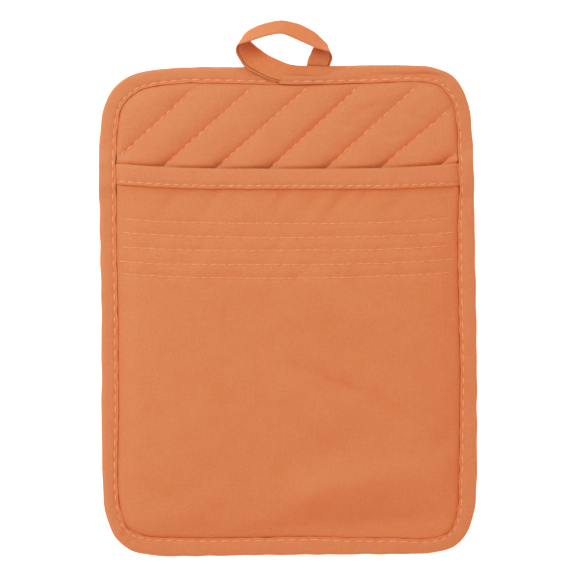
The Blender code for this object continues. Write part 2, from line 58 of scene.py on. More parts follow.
# ---- where the body lies in the frame ----
SideWave = namedtuple("SideWave", "side swell crest_y wave_length")
SIDE_WAVES = (SideWave(-1, 0.25, 61.0, 122.0), SideWave(1, 0.4, -15.0, 260.0))
BINDING_LOW, BINDING_HIGH = (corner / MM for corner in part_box("edge_binding"))
BODY_WIDTH = round(BINDING_HIGH.x - BINDING_LOW.x - sum(wave.swell for wave in SIDE_WAVES), 1)
BODY_HEIGHT = round(BINDING_HIGH.y - BINDING_LOW.y, 1)
BODY_X = BINDING_LOW.x + SIDE_WAVES[0].swell + BODY_WIDTH / 2
BODY_Y = (BINDING_LOW.y + BINDING_HIGH.y) / 2

# ---- outline ----
Corner = namedtuple("Corner", "side end reach_across reach_along squareness")
CORNERS = {
    "top_left": Corner(-1, 1, 56.0, 54.0, 4.0),
    "top_right": Corner(1, 1, 43.0, 58.0, 4.0),
    "bottom_right": Corner(1, -1, 39.5, 55.5, 4.0),
    "bottom_left": Corner(-1, -1, 40.0, 45.5, 3.4),
}
CORNER_STEPS = 60
FINE_STEP = 0.5
NORMAL_SPAN = 3
FAR = 1e3                      # more than any distance on the pot holder
SEARCH_BLOCK = 2000            # points whose nearest spot on the outline is sought in one go

# ---- unevenness ----
# Soft waves that cross at odd angles: their height, their length, and the seed that lays them.
Waves = namedtuple("Waves", "height length seed")
WAVES_OF_A_KIND = 9
PUFF_HEIGHT_WAVES = Waves(0.06, 45.0, 6)
PUFF_WAVES = (Waves(0.16, 22.0, 4), Waves(0.05, 7.0, 5))
FRONT_PUCKER = Waves(0.24, 5.5, 3)
BACK_PUCKER = Waves(0.12, 6.0, 8)
ROW_PUCKER = Waves(0.14, 6.5, 12)
POCKET_WAVES = (Waves(0.30, 48.0, 15), Waves(0.10, 17.0, 16))
FINE_POCKET_WAVES = Waves(0.035, 6.0, 17)
MOUTH_LEAF_WAVES = Waves(1.0, 17.0, 21)
LIP_WIDTH_WAVES = Waves(0.16, 9.0, 31)
LIP_BULGE_WAVES = Waves(0.12, 14.0, 32)
PLEAT_WAVES = Waves(1.0, 5.0, 33)
EDGE_WAVES = Waves(0.14, 12.0, 34)
BACK_LIP_WAVES = Waves(0.10, 11.0, 35)

# ---- layers at the rim ----
GAP = 0.3
CLOTH = 1.0
LAYER = CLOTH + GAP
BACK_LIP_REACH = 8.3
BINDING_ROUND = 1.9
BACK_ROUND = 1.5
BINDING_WALL = 0.9
RIM_TUCK = BINDING_WALL + GAP
LIP_ZONE = 8.6
PAD_RIM_BOTTOM = LAYER
PAD_RIM_TOP = 3.8
# Depths below the mouth's fold where the lip climbs onto the mouth binding, and down again.
LIP_RAMP_ABOVE = (-7.0, -0.3)
LIP_RAMP_BELOW = (11.3, 18.0)
LIP_BULGE = 0.30
PLEAT_HEIGHT = 0.22
PLEAT_ROOM = (2.4, 0.15)       # how widely pleats spread round a corner, and where they fade out
# The front lip is a hand-folded strip, so its width wanders: near x, y it is this wide.
LIP_WIDTHS = (
    (0, 124, 9.5), (14, 124, 9.7), (30, 124, 9.4), (46, 124, 9.1), (60, 124, 8.5), (72, 123, 8.2),
    (86, 116, 8.2), (94, 103, 7.4), (95, 79, 7.8), (95, 58, 7.6), (95, 45, 8.6), (95, 15, 8.9),
    (95, -30, 8.4), (95, -89, 9.2), (90, -112, 8.0), (79, -121, 7.4), (65, -124, 7.5),
    (53, -124, 8.3), (29, -124, 8.6), (13, -124, 9.5), (-43, -124, 9.2), (-62, -124, 9.8),
    (-79, -121, 9.4), (-89, -113, 7.9), (-95, -84, 7.9), (-95, -50, 8.9), (-95, -20, 8.6),
    (-95, 5, 8.6), (-95, 40, 8.4), (-95, 60, 8.9), (-95, 76, 8.8), (-95, 92, 9.0),
    (-91, 108, 8.9), (-84, 116, 9.6), (-76, 120, 8.9), (-64, 123, 8.7), (-48, 124, 8.0),
    (-32, 124, 8.4), (-16, 124, 9.0),
)
# Beside the lip the cloth is crowded up by its seam: near x, y it is higher by this.
CROWDING = (
    (-20, 124, 0.0), (-6, 124, 1.4), (20, 124, 2.0), (40, 124, 1.4), (60, 124, 0.3),
    (80, 121, 0.0), (95, 84, 0.0), (95, 79, 0.8), (95, 75, 3.2), (95, 73.6, 0.2), (95, 63, 0.2),
    (95, 62, 1.4), (95, 55, 0.2), (90, -112, 0.0), (72, -123, 0.5), (20, -124, 0.6),
    (-10, -124, 0.8), (-60, -124, 0.8), (-88, -114, 0.4), (-95, -80, 0.2), (-95, 57, 0.2),
    (-95, 64, 1.4), (-95, 65, 0.2), (-95, 75.2, 0.2), (-95, 76, 3.4), (-95, 80.5, 1.2),
    (-95, 86, 0.2), (-60, 123, 0.2),
)
CROWDING_REACH = 1.8
CROWDING_START = 0.2           # it starts this far under the lip
CROWDING_RAMP = 0.4

# ---- stitches ----
# Each kind of seam: its stitches' share of their pitch, and half the width of their thread.
Seam = namedtuple("Seam", "share half_width")
EDGE_SEAM = Seam(0.74, 0.33)
MOUTH_SEAM = Seam(0.74, 0.33)
ROW_SEAM = Seam(0.92, 0.25)
QUILT_SEAM = Seam(0.72, 0.32)
ABOUT_EDGE_PITCH = 5.65        # as near to it as whole stitches round the edge allow
MOUTH_PITCH = 4.62
QUILT_PITCH = 4.5
STITCH_INSET = 1.6             # the seam runs this far from a binding's edge
# A seam draws the cloth in: this deep, deeper still where its thread dives, and this far around.
Valley = namedtuple("Valley", "depth dive reach")
FRONT_DIMPLE = Valley(0.0, 0.2, 1.1)
BACK_DIMPLE = Valley(0.0, 0.18, 1.2)
ROW_DIMPLE = Valley(0.0, 0.16, 1.0)
MOUTH_VALLEY = Valley(0.18, 0.30, 0.75)
EDGE_VALLEY = Valley(0.22, 0.36, 0.8)
COVER_VALLEY = Valley(0.25, 0.36, 0.8)
# One stitch, station by station: share of its length, height over the cloth, share of its girth.
STITCH_SPOTS = np.array((0.0, 0.1, 0.3, 0.5, 0.7, 0.9, 1.0))
STITCH_RISE = np.array((-0.30, 0.02, 0.15, 0.18, 0.15, 0.02, -0.30))
STITCH_GIRTH = np.array((0.55, 0.9, 1.0, 1.0, 1.0, 0.9, 0.55))
THREAD_SIDES = 6
THREAD_FLATNESS = 0.7
STITCH_ROOM = 0.55             # share of a stitch kept free at both ends of a run
STITCH_SHIFT = 0.12            # how far stitches stray along the seam, and square to it
STITCH_STRAY = 0.06
STITCH_LENGTHS = (0.92, 1.06)
STITCH_SLANT = 0.25
ROW_SLANT = 0.1
SLANT_STRAY = 0.15
RUN_STEP = 1.0
LEAST_MARKS = 5                # shorter runs are left out
MOUTH_SEAM_START = 1.0         # how far from the lip, or from the mouth, seams start and end
ROW_START = 0.6
QUILT_START = 0.8
QUILT_ABOVE_MOUTH = 0.5
LAYING_HEIGHT = 60.0           # from this far above or below, stitches are laid on the cloth

# ---- quilting ----
QUILT_ANGLE = math.radians(41.4)
QUILT_REACH = 160.0
# A stitched line: distance from the body's middle square to the lines, and how it leans (degrees)
# past the point where it comes out of the pocket.
QuiltLine = namedtuple("QuiltLine", "offset mouth lean")
FIRST_LINE, LINE_SPACING, HIDDEN_LINES = -150.8, 19.1, 8
QUILTING = [QuiltLine(round(FIRST_LINE + LINE_SPACING * k, 1), 0.0, 0.0)
            for k in range(HIDDEN_LINES)]
QUILTING += [
    QuiltLine(3.2, 109.0, -6.0), QuiltLine(22.5, 85.6, -2.0), QuiltLine(40.9, 64.8, -0.2),
    QuiltLine(59.9, 41.0, 0.5), QuiltLine(78.2, 22.8, -0.7), QuiltLine(96.8, 1.3, -0.5),
    QuiltLine(115.2, -5.2, 0.4), QuiltLine(134.9, 0.0, 0.0), QuiltLine(154.0, 0.0, 0.0),
]
GROOVE_TOP = 5.1
PUFF_RISE = 2.0
PUFF_SQUARENESS = 2.2
GROOVE_SHARPNESS = 0.75
PUFF_EVENNESS = 0.96
PUCKER_STRETCH = 0.25          # puckers are longer square to their seam by one over this
PUCKER_START = 0.8
PUCKER_REACH = 3.0
SWELL_START = 0.2
SWELL_REACH = 1.7
MOUTH_BULGE = 1.6              # the puffs bulge up where the pocket's mouth stops pressing on them
MOUTH_BULGE_START = 1.5
MOUTH_BULGE_REACH = 6.0
BACK_SWELL = 3.4
BACK_SWELL_START = 0.6
BACK_GROOVE_DEPTH = 1.0
BACK_GROOVE_REACH = 3.4
BACK_GROOVE_SHARPNESS = 1.3
BACK_PUCKER_STRETCH = 0.3
BACK_PUCKER_REACH = 2.5

# ---- pocket ----
MOUTH_Y = 74.6
MOUTH_SKEW = 0.9
MOUTH_SAG = 2.85
SAG_SHARPNESS = 3.4
SAG_FADE_DEPTH = (0.0, 28.0, 60.0, 180.0)
SAG_FADE = (1.0, 0.8, 0.8, 0.0)
BELLY = 6.5
BELLY_SIDE_REACH = 16.0
BELLY_END_REACH = 26.0
BELLY_RAMP = 10.0
MOUTH_BELLY = 0.2              # at the mouth the slack cloth lies close to the pad
MOUTH_RISE = 60.0
PANEL_EDGE = 1.3
FRONT_LEAF = 10.6
LEAF_WIDENING = 0.7            # the front leaf gets wider by this towards the right
BACK_LEAF = 9.2
LIFT_END = 14.0
FOLD_ROUND = 1.3
SQUEEZED_LEAF = 0.6
LEAF_RELEASE = 5.4
LEAF_LIFT, LEAF_WAVE = 0.22, 0.10
LEAF_LIFT_REACH = 10.0         # the front leaf's edge lifts off a little this far from its ends
MOUTH_PUFF = 0.22
RELIEF_START = 6.0             # the cloth's own relief starts over this depth below the front leaf
# Rows of stitches: depth below the mouth's fold at the middle, how much deeper they are at the
# right side (tilt) and at both sides (bow), and the pitch of their stitches.
StitchRow = namedtuple("StitchRow", "depth tilt bow pitch")
STITCH_ROWS = (
    StitchRow(28.36, -0.05, -0.68, 4.7), StitchRow(35.41, 0.03, -0.70, 4.67),
    StitchRow(42.07, -0.43, -0.48, 4.6), StitchRow(49.13, -0.51, -0.18, 4.58),
    StitchRow(55.86, -0.48, -0.73, 4.36),
)
# Sewn by hand, a row strays in waves: their height, their run, and their shift from row to row.
ROW_STRAY = ((0.12, 14.0, 2.1), (0.08, 6.3, 4.0))
ROW_VALLEY = 0.45
ROW_VALLEY_REACH = 3.0
ROW_VALLEY_SHARPNESS = 1.5
ROW_SHIFT = 1.7
ROW_PUCKER_STRETCH = 0.35
ROW_PUCKER_APART = 40.0        # moves each row onto other waves

# ---- soft folds ----
# Middle, heading in degrees, half length and half width of a bell curve, and height.
Fold = namedtuple("Fold", "x y heading half_length half_width height")
POCKET_FOLDS = [Fold(*row) for row in (
    # the long crease across the lower right, and the ridge above it
    (28.5, -39.7, -25, 40, 6.5, -1.5),
    (26, -38, -24, 12, 1.9, -1.15),
    (3, -29, -17, 14, 2.2, -0.4),
    (60, -55.8, -30, 22, 2.2, -0.5),
    (77, -67, -35, 7, 4, -1.6),
    (46, -8, -46, 34, 9, 1.9),
    (28, -15, -46, 22, 7, -1.4),
    (72, -8, -50, 26, 6, -0.8),
    (39, 10, -35, 12, 5, -0.9),
    # the slack bottom
    (26.5, -68.5, 10, 20, 9, -1.7),
    (34, -88, 8, 46, 8, 3.2),
    (6, -97, 42, 20, 6, 1.3),
    (42, -107.5, 4, 46, 9, -2.6),
    (-14, -104, 38, 16, 6, 0.9),
    (-50, -100, 30, 26, 9, 0.7),
    # short slanting folds that hang from the mouth
    (-59.5, 55, 50, 9, 2.8, -0.75),
    (-50, 54, 50, 9, 3, 0.45),
    (-38, 55, 52, 10, 2.8, -0.80),
    (-20, 53, 52, 10, 4.5, 0.45),
    (-2.5, 55, 52, 10, 3.2, -0.85),
    (13, 54, 52, 8, 2.6, -0.55),
    (20, 54, 50, 9, 2.6, 0.40),
    (27, 54.5, 48, 11, 3, -0.95),
    (38.5, 56.5, 44, 9, 2.4, -0.70),
    (48, 54.5, 42, 9, 3, 0.40),
    (58, 56, 40, 9, 3, -0.55),
    # where the rows of stitches draw the cloth in
    (20, 31, -30, 12, 3.2, -0.70),
    (8, 19, 40, 9, 3, -0.60),
    (-4, 33, 52, 10, 3.2, -0.45),
    (-24, 36, 60, 9, 2.8, -0.45),
    (-44, 30, 50, 10, 3.4, -0.40),
    (-70, 34, 40, 10, 3.4, -0.40),
    (36, 22, -48, 12, 3, -0.60),
    (52, 36, -35, 12, 3.2, -0.55),
    (70, 30, -40, 10, 3, -0.50),
)]
# where the filling is thin beside the rim, so that both cloths slope down to it
SLACK_RIM = [Fold(42, -116, 3, 48, 13, -2.3)]
QUILT_FOLDS = [Fold(*row) for row in (
    (16, 95, 41.4, 26, 1.3, -0.45),
    (40, 102, 12, 7, 1.5, -0.8),
    (36, 98.5, 5, 7, 1.4, -0.7),
    (30, 94, -12, 6, 1.6, -0.6),
    (67, 96, -25, 7, 2, -0.8),
    (27, 82, -30, 5, 1.6, -0.6),
    (55, 88, 8, 8, 1.8, -0.5),
    (-58, 86, -40, 6, 1.6, -0.3),
)]
BINDING_FOLDS = [Fold(*row) for row in (
    (40, 117.6, 5, 9, 0.9, -0.5),
    (60, 118.8, -1, 14, 1.1, -1.2),
    (73, 118, -8, 6, 1.4, -2.2),
    (-79, 114.5, -45, 2.2, 0.9, -0.6),
    (-82, -111, 50, 5, 0.7, -0.7),
    (84.5, -113, -45, 5, 0.8, -0.5),
)]
FOLDED_SPOTS = slice(3, 17)    # the part of the edge binding's section that these folds reach

# ---- hanging loop ----
TAPE_THICKNESS = 1.4
TAPE_SLIT = 0.2                # air between the tape's two leaves
LEAF_STEP = 1.4                # the leaf inside the loop is narrower by this
# The tape isn't quite flat or even.  Waves: height, run, and shift.
TAPE_SWELLS = ((0.10, 5.1, 0.0), (0.07, 2.3, 1.0))
STEP_WAVE, STEP_WAVE_RUN = 0.15, 7.0
COVER_WAVE, COVER_WAVE_RUN = 0.1, 3.1
LOOP_STEPS = 10
TAPE_ON_LIP = 5.0              # its end is sewn in under the rest
TAPE_ON_TAPE = 6.4
# Where the tape's two rims run, row by row.  Columns: far x, far y, far z, near x, near y, near z.
LOOP_ROUTE = (
    (31.0, 123.7, TAPE_ON_LIP + 0.6, 31.0, 114.6, TAPE_ON_LIP + 0.6),
    (22.9, 123.7, TAPE_ON_TAPE, 22.5, 114.1, TAPE_ON_TAPE),
    (15.9, 123.9, TAPE_ON_TAPE, 14.9, 114.4, TAPE_ON_TAPE),
    (10.5, 124.0, TAPE_ON_TAPE, 8.5, 114.5, TAPE_ON_TAPE),
    (5.5, 124.2, TAPE_ON_TAPE, 2.4, 115.1, TAPE_ON_TAPE),
    (1.2, 125.1, 6.4, -3.0, 115.8, 6.6),
    (-3.6, 127.1, 6.2, -8.6, 117.2, 7.0),
    (-9.0, 129.8, 5.8, -15.0, 120.2, 7.8),
    (-14.0, 133.5, 5.2, -20.4, 123.4, 9.2),
    (-16.2, 135.5, 5.0, -23.0, 127.2, 10.8),
    (-18.4, 137.5, 5.2, -24.5, 130.4, 12.6),
    (-20.6, 139.0, 5.6, -24.0, 133.4, 14.4),
    (-20.2, 140.4, 6.2, -21.4, 134.6, 15.0),
    (-17.4, 142.6, 6.8, -16.8, 135.9, 14.8),
    (-11.8, 145.0, 7.6, -10.2, 138.0, 14.8),
    (-2.6, 146.8, 8.2, -2.8, 139.3, 15.0),
    (3.5, 145.9, 8.2, 1.8, 138.1, 14.4),
    (8.5, 144.3, 8.2, 5.4, 136.5, 14.2),
    (15.0, 140.7, 7.6, 11.4, 133.8, 14.2),
    (18.6, 137.3, 6.6, 15.6, 131.8, 14.6),
    (20.6, 135.2, 5.4, 19.0, 130.9, 14.6),
    (20.8, 134.4, 5.0, 22.0, 129.8, 13.6),
    (18.4, 134.4, 4.9, 23.2, 128.2, 11.4),
    (14.6, 133.6, 5.0, 23.4, 126.6, 8.6),
    (12.6, 129.9, 5.3, 22.6, 124.4, 6.8),
    (11.3, 126.9, 5.9, 21.4, 121.7, TAPE_ON_LIP),
    (10.6, 123.9, TAPE_ON_LIP, 19.6, 119.4, TAPE_ON_LIP),
    (8.6, 120.4, TAPE_ON_LIP, 17.4, 115.8, TAPE_ON_LIP),
)
# The edge binding runs on over the tape's ends.  Columns: x, its upper edge's y, how far that edge
# wraps over the rim (0 to 1), and height.
COVER_ROUTE = (
    (-3.4, 117.6, 0.0, 6.7),
    (-2.0, 119.0, 0.0, 7.3),
    (2.0, 119.4, 0.0, 7.6),
    (9.0, 119.1, 0.0, 7.6),
    (16.4, 118.8, 0.0, 7.6),
    (21.0, 119.6, 0.0, 7.5),
    (24.5, 121.2, 0.1, 7.3),
    (29.0, 122.8, 0.4, 6.9),
    (34.0, 123.9, 1.0, 6.4),
    (42.0, 124.15, 1.0, 5.9),
    (52.0, 124.1, 1.0, 5.5),
    (60.0, 123.9, 1.0, 5.2),
)

# ---- fine mesh steps ----
PAD_STEP = 1.3
PAD_BACK_STEP = 2.4
POCKET_STEP = 1.35
BINDING_STEP = 1.15
MOUTH_STEP = 1.0
MOUTH_RIM_STEP = 2.0
PAST_LIP_RINGS = (-4.5, -1.6, -0.2, 0.3, 0.9, 1.7, 2.7)
BACK_RINGS = (3.0, 5.2, 7.2, LIP_ZONE, 10.2)
PAD_CLEAR = 0.6                # the inner points keep this far from the last ring past the lip
POCKET_CLEAR = 0.7
POCKET_END_CLEAR = 3.0         # and the rings this far from the pocket's two ends
ON_EDGE = 1e-5
SHARP_ANGLE = math.radians(60.0)

# ---- colours, linear ----
ORANGE = (0.690, 0.231, 0.093)
DEEP_ORANGE = (0.690, 0.222, 0.082)
PALE_ORANGE = (0.690, 0.245, 0.105)
LOOP_ORANGE = (0.690, 0.212, 0.074)
THREAD_ORANGE = (0.79, 0.322, 0.147)
FINE_THREAD_ORANGE = (0.77, 0.300, 0.135)
DEEP_TINT = (0.985, 0.875, 0.76)
PALE_TINT = (1.03, 1.12, 1.25)
# Painted shade where other cloth closes in: the cloth's colour is multiplied up to this tint,
# deeper and redder, within this reach. The loop's tint is darker and its reach is wider.
CREVICE_SHADE_TINT = (1.30, 1.04, 0.64)
LOOP_SHADE_TINT = (0.50, 0.26, 0.10)
CREVICE_SHADE_REACH = 4.0
LOOP_SHADE_REACH = 12.0
SHEEN_TINT = (1.0, 0.62, 0.42)
WHITE = (1.0, 1.0, 1.0)
FLOOR_WHITE = (0.93, 0.93, 0.93)
YARN_PITCH = 0.5
WEAVE_DEPTH = 0.10
YARN_WOBBLE = 1.6              # in yarns
STREAK_HEIGHT, FLUFF_HEIGHT = 1.3, 0.9     # beside the weave's own

# ---- studio, in metres ----
FLOOR_HALF = 3.0
FLOOR_DROP = 0.0002
FLOOR_GLOW = 0.75
SKY_STRENGTH = 0.96
SKY_FALL = 3.0
OVERHEAD_COLOR = (1.50, 0.925, 0.46)
SIDE_COLOR = (0.67, 0.645, 0.775)
KEY_POWER = 6.0
KEY_COLOR = (0.35, 0.91, 1.12)
KEY_SIZE = 0.55
KEY_PLACE = (-0.50, 0.56, 0.72)
CAMERA_HEIGHT = 1.4
CAMERA_LENS = 172.0
CAMERA_TURN = math.radians(-0.6)
SENSOR_WIDTH = 36.0
CLIP_START = 0.01
LOOK_AT = (0.0, -0.0003)


# ---- curves ----
def smooth(value):
    """Soft step from 0 to 1."""
    t = np.clip(value, 0.0, 1.0)
    return t * t * (3.0 - 2.0 * t)


def fade(distance, reach):
    """1 up to a place, and less and less past it."""
    return np.exp(-np.clip(distance, 0.0, None) / reach)


def dives(place, pitch):
    """1 where a seam's thread dives between two stitches, 0 at the middle of a stitch."""
    return 0.5 - 0.5 * np.cos(2.0 * math.pi * place / pitch)


def drawn_in(valley, distance, dive):
    """How deep a seam draws the cloth in at a distance from it."""
    return (valley.depth + valley.dive * dive) * np.exp(-((distance / valley.reach) ** 2))


def ripple(xy, kind):
    """Smooth unevenness: waves of like length that cross at odd angles."""
    dice = np.random.default_rng(kind.seed)
    total = np.zeros(len(xy))
    for _wave in range(WAVES_OF_A_KIND):
        angle = dice.uniform(0.0, 2.0 * math.pi)
        length = kind.length * dice.uniform(0.7, 1.45)
        phase = dice.uniform(0.0, 2.0 * math.pi)
        run = xy[:, 0] * math.cos(angle) + xy[:, 1] * math.sin(angle)
        total += np.sin(2.0 * math.pi * run / length + phase)
    return kind.height * total / math.sqrt(WAVES_OF_A_KIND)


def folds(xy, rows):
    """Height of soft folds, added up."""
    total = np.zeros(len(xy))
    for fold in rows:
        turn = math.radians(fold.heading)
        x, y = xy[:, 0] - fold.x, xy[:, 1] - fold.y
        along = x * math.cos(turn) + y * math.sin(turn)
        aside = y * math.cos(turn) - x * math.sin(turn)
        bell = np.exp(-((along / fold.half_length) ** 2) - (aside / fold.half_width) ** 2)
        total += fold.height * bell
    return total


def through_points(rows, steps):
    """A smooth line through the rows of a table (Catmull-Rom), with some steps between rows."""
    rows = np.array(rows, dtype=float)
    padded = np.vstack([2 * rows[0] - rows[1], rows, 2 * rows[-1] - rows[-2]])
    line = []
    for a, b, c, d in zip(padded, padded[1:], padded[2:], padded[3:]):
        for i in range(steps):
            t = i / steps
            line.append(0.5 * (2 * b + (c - a) * t + (2 * a - 5 * b + 4 * c - d) * t ** 2
                               + (3 * b - a - 3 * c + d) * t ** 3))
    line.append(rows[-1])
    return np.array(line)


# ---- outline ----
def corner_points(name):
    """One rounded corner, from the side's end of it to the top or bottom edge's end."""
    corner = CORNERS[name]
    points = []
    for i in range(CORNER_STEPS + 1):
        angle = 0.5 * math.pi * i / CORNER_STEPS
        across = max(math.cos(angle), 0.0) ** (2.0 / corner.squareness)
        along = max(math.sin(angle), 0.0) ** (2.0 / corner.squareness)
        x = corner.side * (BODY_WIDTH / 2 - corner.reach_across * (1.0 - across))
        y = corner.end * (BODY_HEIGHT / 2 - corner.reach_along * (1.0 - along))
        points.append((x, y))
    return points


def resample(points, step):
    """A closed line through the points, in equal steps."""
    closed = np.vstack([points, points[:1]])
    lengths = np.hypot(*np.diff(closed, axis=0).T)
    arc = np.concatenate([[0.0], np.cumsum(lengths)])
    count = int(arc[-1] / step)
    marks = np.arange(count) * arc[-1] / count
    return np.column_stack([np.interp(marks, arc, closed[:, k]) for k in (0, 1)])


def outward(points):
    """Unit normals of a closed clockwise line."""
    ahead = np.roll(points, -NORMAL_SPAN, axis=0) - np.roll(points, NORMAL_SPAN, axis=0)
    ahead /= np.hypot(*ahead.T)[:, None]
    return np.column_stack([-ahead[:, 1], ahead[:, 0]])


def fine_outline():
    """The body's outline, clockwise from the middle of its top edge, and its normals."""
    points = corner_points("top_right")[::-1] + corner_points("bottom_right")
    points += corner_points("bottom_left")[::-1] + corner_points("top_left")
    line = resample(np.array(points), FINE_STEP)
    normals = outward(line)
    for wave in SIDE_WAVES:
        swell = wave.swell * np.cos(2.0 * math.pi * (line[:, 1] - wave.crest_y) / wave.wave_length)
        line[:, 0] += swell * np.where(wave.side * normals[:, 0] > 0.0, normals[:, 0], 0.0)
    start = int(np.argmin(np.abs(line[:, 0]) + np.where(line[:, 1] > 0.0, 0.0, FAR)))
    line = np.roll(line, -start, axis=0)
    return line, outward(line)


OUTLINE, OUTLINE_NORMALS = fine_outline()
OUTLINE_ARC = np.arange(len(OUTLINE)) * FINE_STEP
OUTLINE_LENGTH = len(OUTLINE) * FINE_STEP
EDGE_PITCH = OUTLINE_LENGTH / round(OUTLINE_LENGTH / ABOUT_EDGE_PITCH)


def nearest_rim(xy):
    """Distance of each point from the outline, and the mark on the outline that is nearest."""
    distances, marks = [], []
    for part in np.array_split(np.atleast_2d(xy), len(xy) // SEARCH_BLOCK + 1):
        spread = np.hypot(part[:, None, 0] - OUTLINE[:, 0], part[:, None, 1] - OUTLINE[:, 1])
        marks.append(spread.argmin(axis=1))
        distances.append(spread.min(axis=1))
    return np.concatenate(distances), np.concatenate(marks)


def outline_mark(x, y):
    """Where on the outline, in fine steps, the point nearest to x, y is."""
    return int(np.argmin(np.hypot(OUTLINE[:, 0] - x, OUTLINE[:, 1] - y)))


def side_mark(side, y):
    """Where the outline passes the height y on the left (-1) or the right (1) side."""
    miss = np.abs(OUTLINE[:, 1] - y) + np.where(side * OUTLINE[:, 0] > 0.0, 0.0, FAR)
    return int(np.argmin(miss))


def mouth_y(side):
    """Height of the mouth's upper fold where it meets the left (-1) or the right (1) side."""
    return MOUTH_Y - side * MOUTH_SKEW


PIN_LEFT = OUTLINE[side_mark(-1, mouth_y(-1)), 0] + LIP_ZONE
PIN_RIGHT = OUTLINE[side_mark(1, mouth_y(1)), 0] - LIP_ZONE


def outline_at(arc):
    """Outline points and normals at distances along it."""
    marks = np.asarray(arc) / FINE_STEP
    order = np.arange(len(OUTLINE) + 1)
    ring = np.vstack([OUTLINE, OUTLINE[:1]])
    turn = np.vstack([OUTLINE_NORMALS, OUTLINE_NORMALS[:1]])
    place = np.column_stack([np.interp(marks, order, ring[:, k]) for k in (0, 1)])
    normal = np.column_stack([np.interp(marks, order, turn[:, k]) for k in (0, 1)])
    return place, normal / np.hypot(*normal.T)[:, None]


def round_outline(rows, arc):
    """Values given near some points, spread evenly between them along the outline."""
    known = sorted((outline_mark(x, y) * FINE_STEP, value) for x, y, value in rows)
    marks, values = (np.array(column) for column in zip(*known))
    return np.interp(arc, marks, values, period=OUTLINE_LENGTH)


LIP_AT_MARK = round_outline(LIP_WIDTHS, OUTLINE_ARC)
RISE_AT_MARK = round_outline(CROWDING, OUTLINE_ARC)


def near_lip(xy):
    """How far each point lies inside the edge binding's front lip, and the mark nearest to it."""
    distance, mark = nearest_rim(xy)
    inward = ((OUTLINE[mark] - xy) * OUTLINE_NORMALS[mark]).sum(axis=1)
    return np.where(inward > 0.0, distance, -distance) - LIP_AT_MARK[mark], mark


def past_lip(xy):
    """How far each point lies inside the front lip; negative under it and outside."""
    return near_lip(xy)[0]


def crowded(past, mark):
    """How much higher the cloth stands right beside the lip."""
    start = smooth((past + CROWDING_START) / CROWDING_RAMP)
    return RISE_AT_MARK[mark] * start * fade(past, CROWDING_REACH)


# ---- quilted pad ----
def quilt_to_xy(along, across):
    """X, y from distances along the quilting's direction and square to it."""
    return np.column_stack([along * math.cos(QUILT_ANGLE) - across * math.sin(QUILT_ANGLE),
                            along * math.sin(QUILT_ANGLE) + across * math.cos(QUILT_ANGLE)])


def quilt_line_at(along):
    """Where each stitched line is, square to the quilting, at distances along it."""
    along = np.atleast_1d(along)
    lines = [row.offset + math.tan(math.radians(row.lean)) * np.clip(along - row.mouth, 0.0, None)
             for row in QUILTING]
    return np.column_stack(lines)


def quilt_place(xy):
    """Distance along the quilting and from the nearest stitched line, and share of the puff."""
    along = xy[:, 0] * math.cos(QUILT_ANGLE) + xy[:, 1] * math.sin(QUILT_ANGLE)
    across = xy[:, 1] * math.cos(QUILT_ANGLE) - xy[:, 0] * math.sin(QUILT_ANGLE)
    lines = quilt_line_at(along)
    right = np.clip((lines <= across[:, None]).sum(axis=1), 1, lines.shape[1] - 1)
    rows = np.arange(len(xy))
    low, high = lines[rows, right - 1], lines[rows, right]
    above, width = across - low, high - low
    nearest = np.clip(np.minimum(above, width - above), 0.0, None)
    return along, nearest, np.clip(above / width, 0.0, 1.0)


def from_rim(past):
    """Share of its full height to which filling swells a cloth, past the lip that squeezes it."""
    return 1.0 - fade(past + SWELL_START, SWELL_REACH)


def pad_front(xy):
    """Height of the quilted front: rounded puffs, drawn in at every stitch."""
    along, nearest, share = quilt_place(xy)
    arch = 1.0 - np.abs(1.0 - 2.0 * share) ** PUFF_SQUARENESS
    arch = np.clip(arch, 0.0, 1.0) ** GROOVE_SHARPNESS
    pucker = ripple(np.column_stack([along, nearest * PUCKER_STRETCH]), FRONT_PUCKER)
    pucker *= fade(nearest, PUCKER_REACH) * (1.0 - fade(nearest, PUCKER_START))
    full = GROOVE_TOP + PUFF_RISE * arch * (PUFF_EVENNESS + ripple(xy, PUFF_HEIGHT_WAVES))
    full -= drawn_in(FRONT_DIMPLE, nearest, dives(along, QUILT_PITCH) ** 2)
    full += pucker + sum(ripple(xy, kind) for kind in PUFF_WAVES) * arch
    full += folds(xy, QUILT_FOLDS) + folds(xy, SLACK_RIM)
    above = above_mouth(xy[:, 0], xy[:, 1])
    full += MOUTH_BULGE * arch * smooth(above / MOUTH_BULGE_START) * fade(above, MOUTH_BULGE_REACH)
    past, mark = near_lip(xy)
    bare = xy[:, 1] > 0.0
    height = PAD_RIM_TOP + (full - PAD_RIM_TOP) * from_rim(past)
    return height + np.where(bare, crowded(past, mark), 0.0)


def pad_back(xy):
    """Height of the back: nearly flat puffs that lie on the floor, drawn in at the stitches."""
    along, nearest, _share = quilt_place(xy)
    groove = (1.0 - smooth(nearest / BACK_GROOVE_REACH)) ** BACK_GROOVE_SHARPNESS
    groove *= BACK_GROOVE_DEPTH
    pucker = np.abs(ripple(np.column_stack([along, nearest * BACK_PUCKER_STRETCH]), BACK_PUCKER))
    groove += drawn_in(BACK_DIMPLE, nearest, dives(along, QUILT_PITCH))
    groove += pucker * fade(nearest, BACK_PUCKER_REACH)
    sunk = 1.0 - smooth((nearest_rim(xy)[0] - LIP_ZONE + BACK_SWELL_START) / BACK_SWELL)
    return np.maximum(groove * (1.0 - sunk), PAD_RIM_BOTTOM * sunk)


# ---- pocket ----
def across_mouth(x):
    """-1 at the left lip, 1 at the right lip, and no more beyond them."""
    middle = (PIN_LEFT + PIN_RIGHT) / 2
    return np.clip((x - middle) / ((PIN_RIGHT - PIN_LEFT) / 2), -1.0, 1.0)


def taut_y(x, depth):
    """Y of the pocket cloth at a depth below the mouth's fold, were it not slack."""
    return MOUTH_Y - MOUTH_SKEW * across_mouth(x) - depth


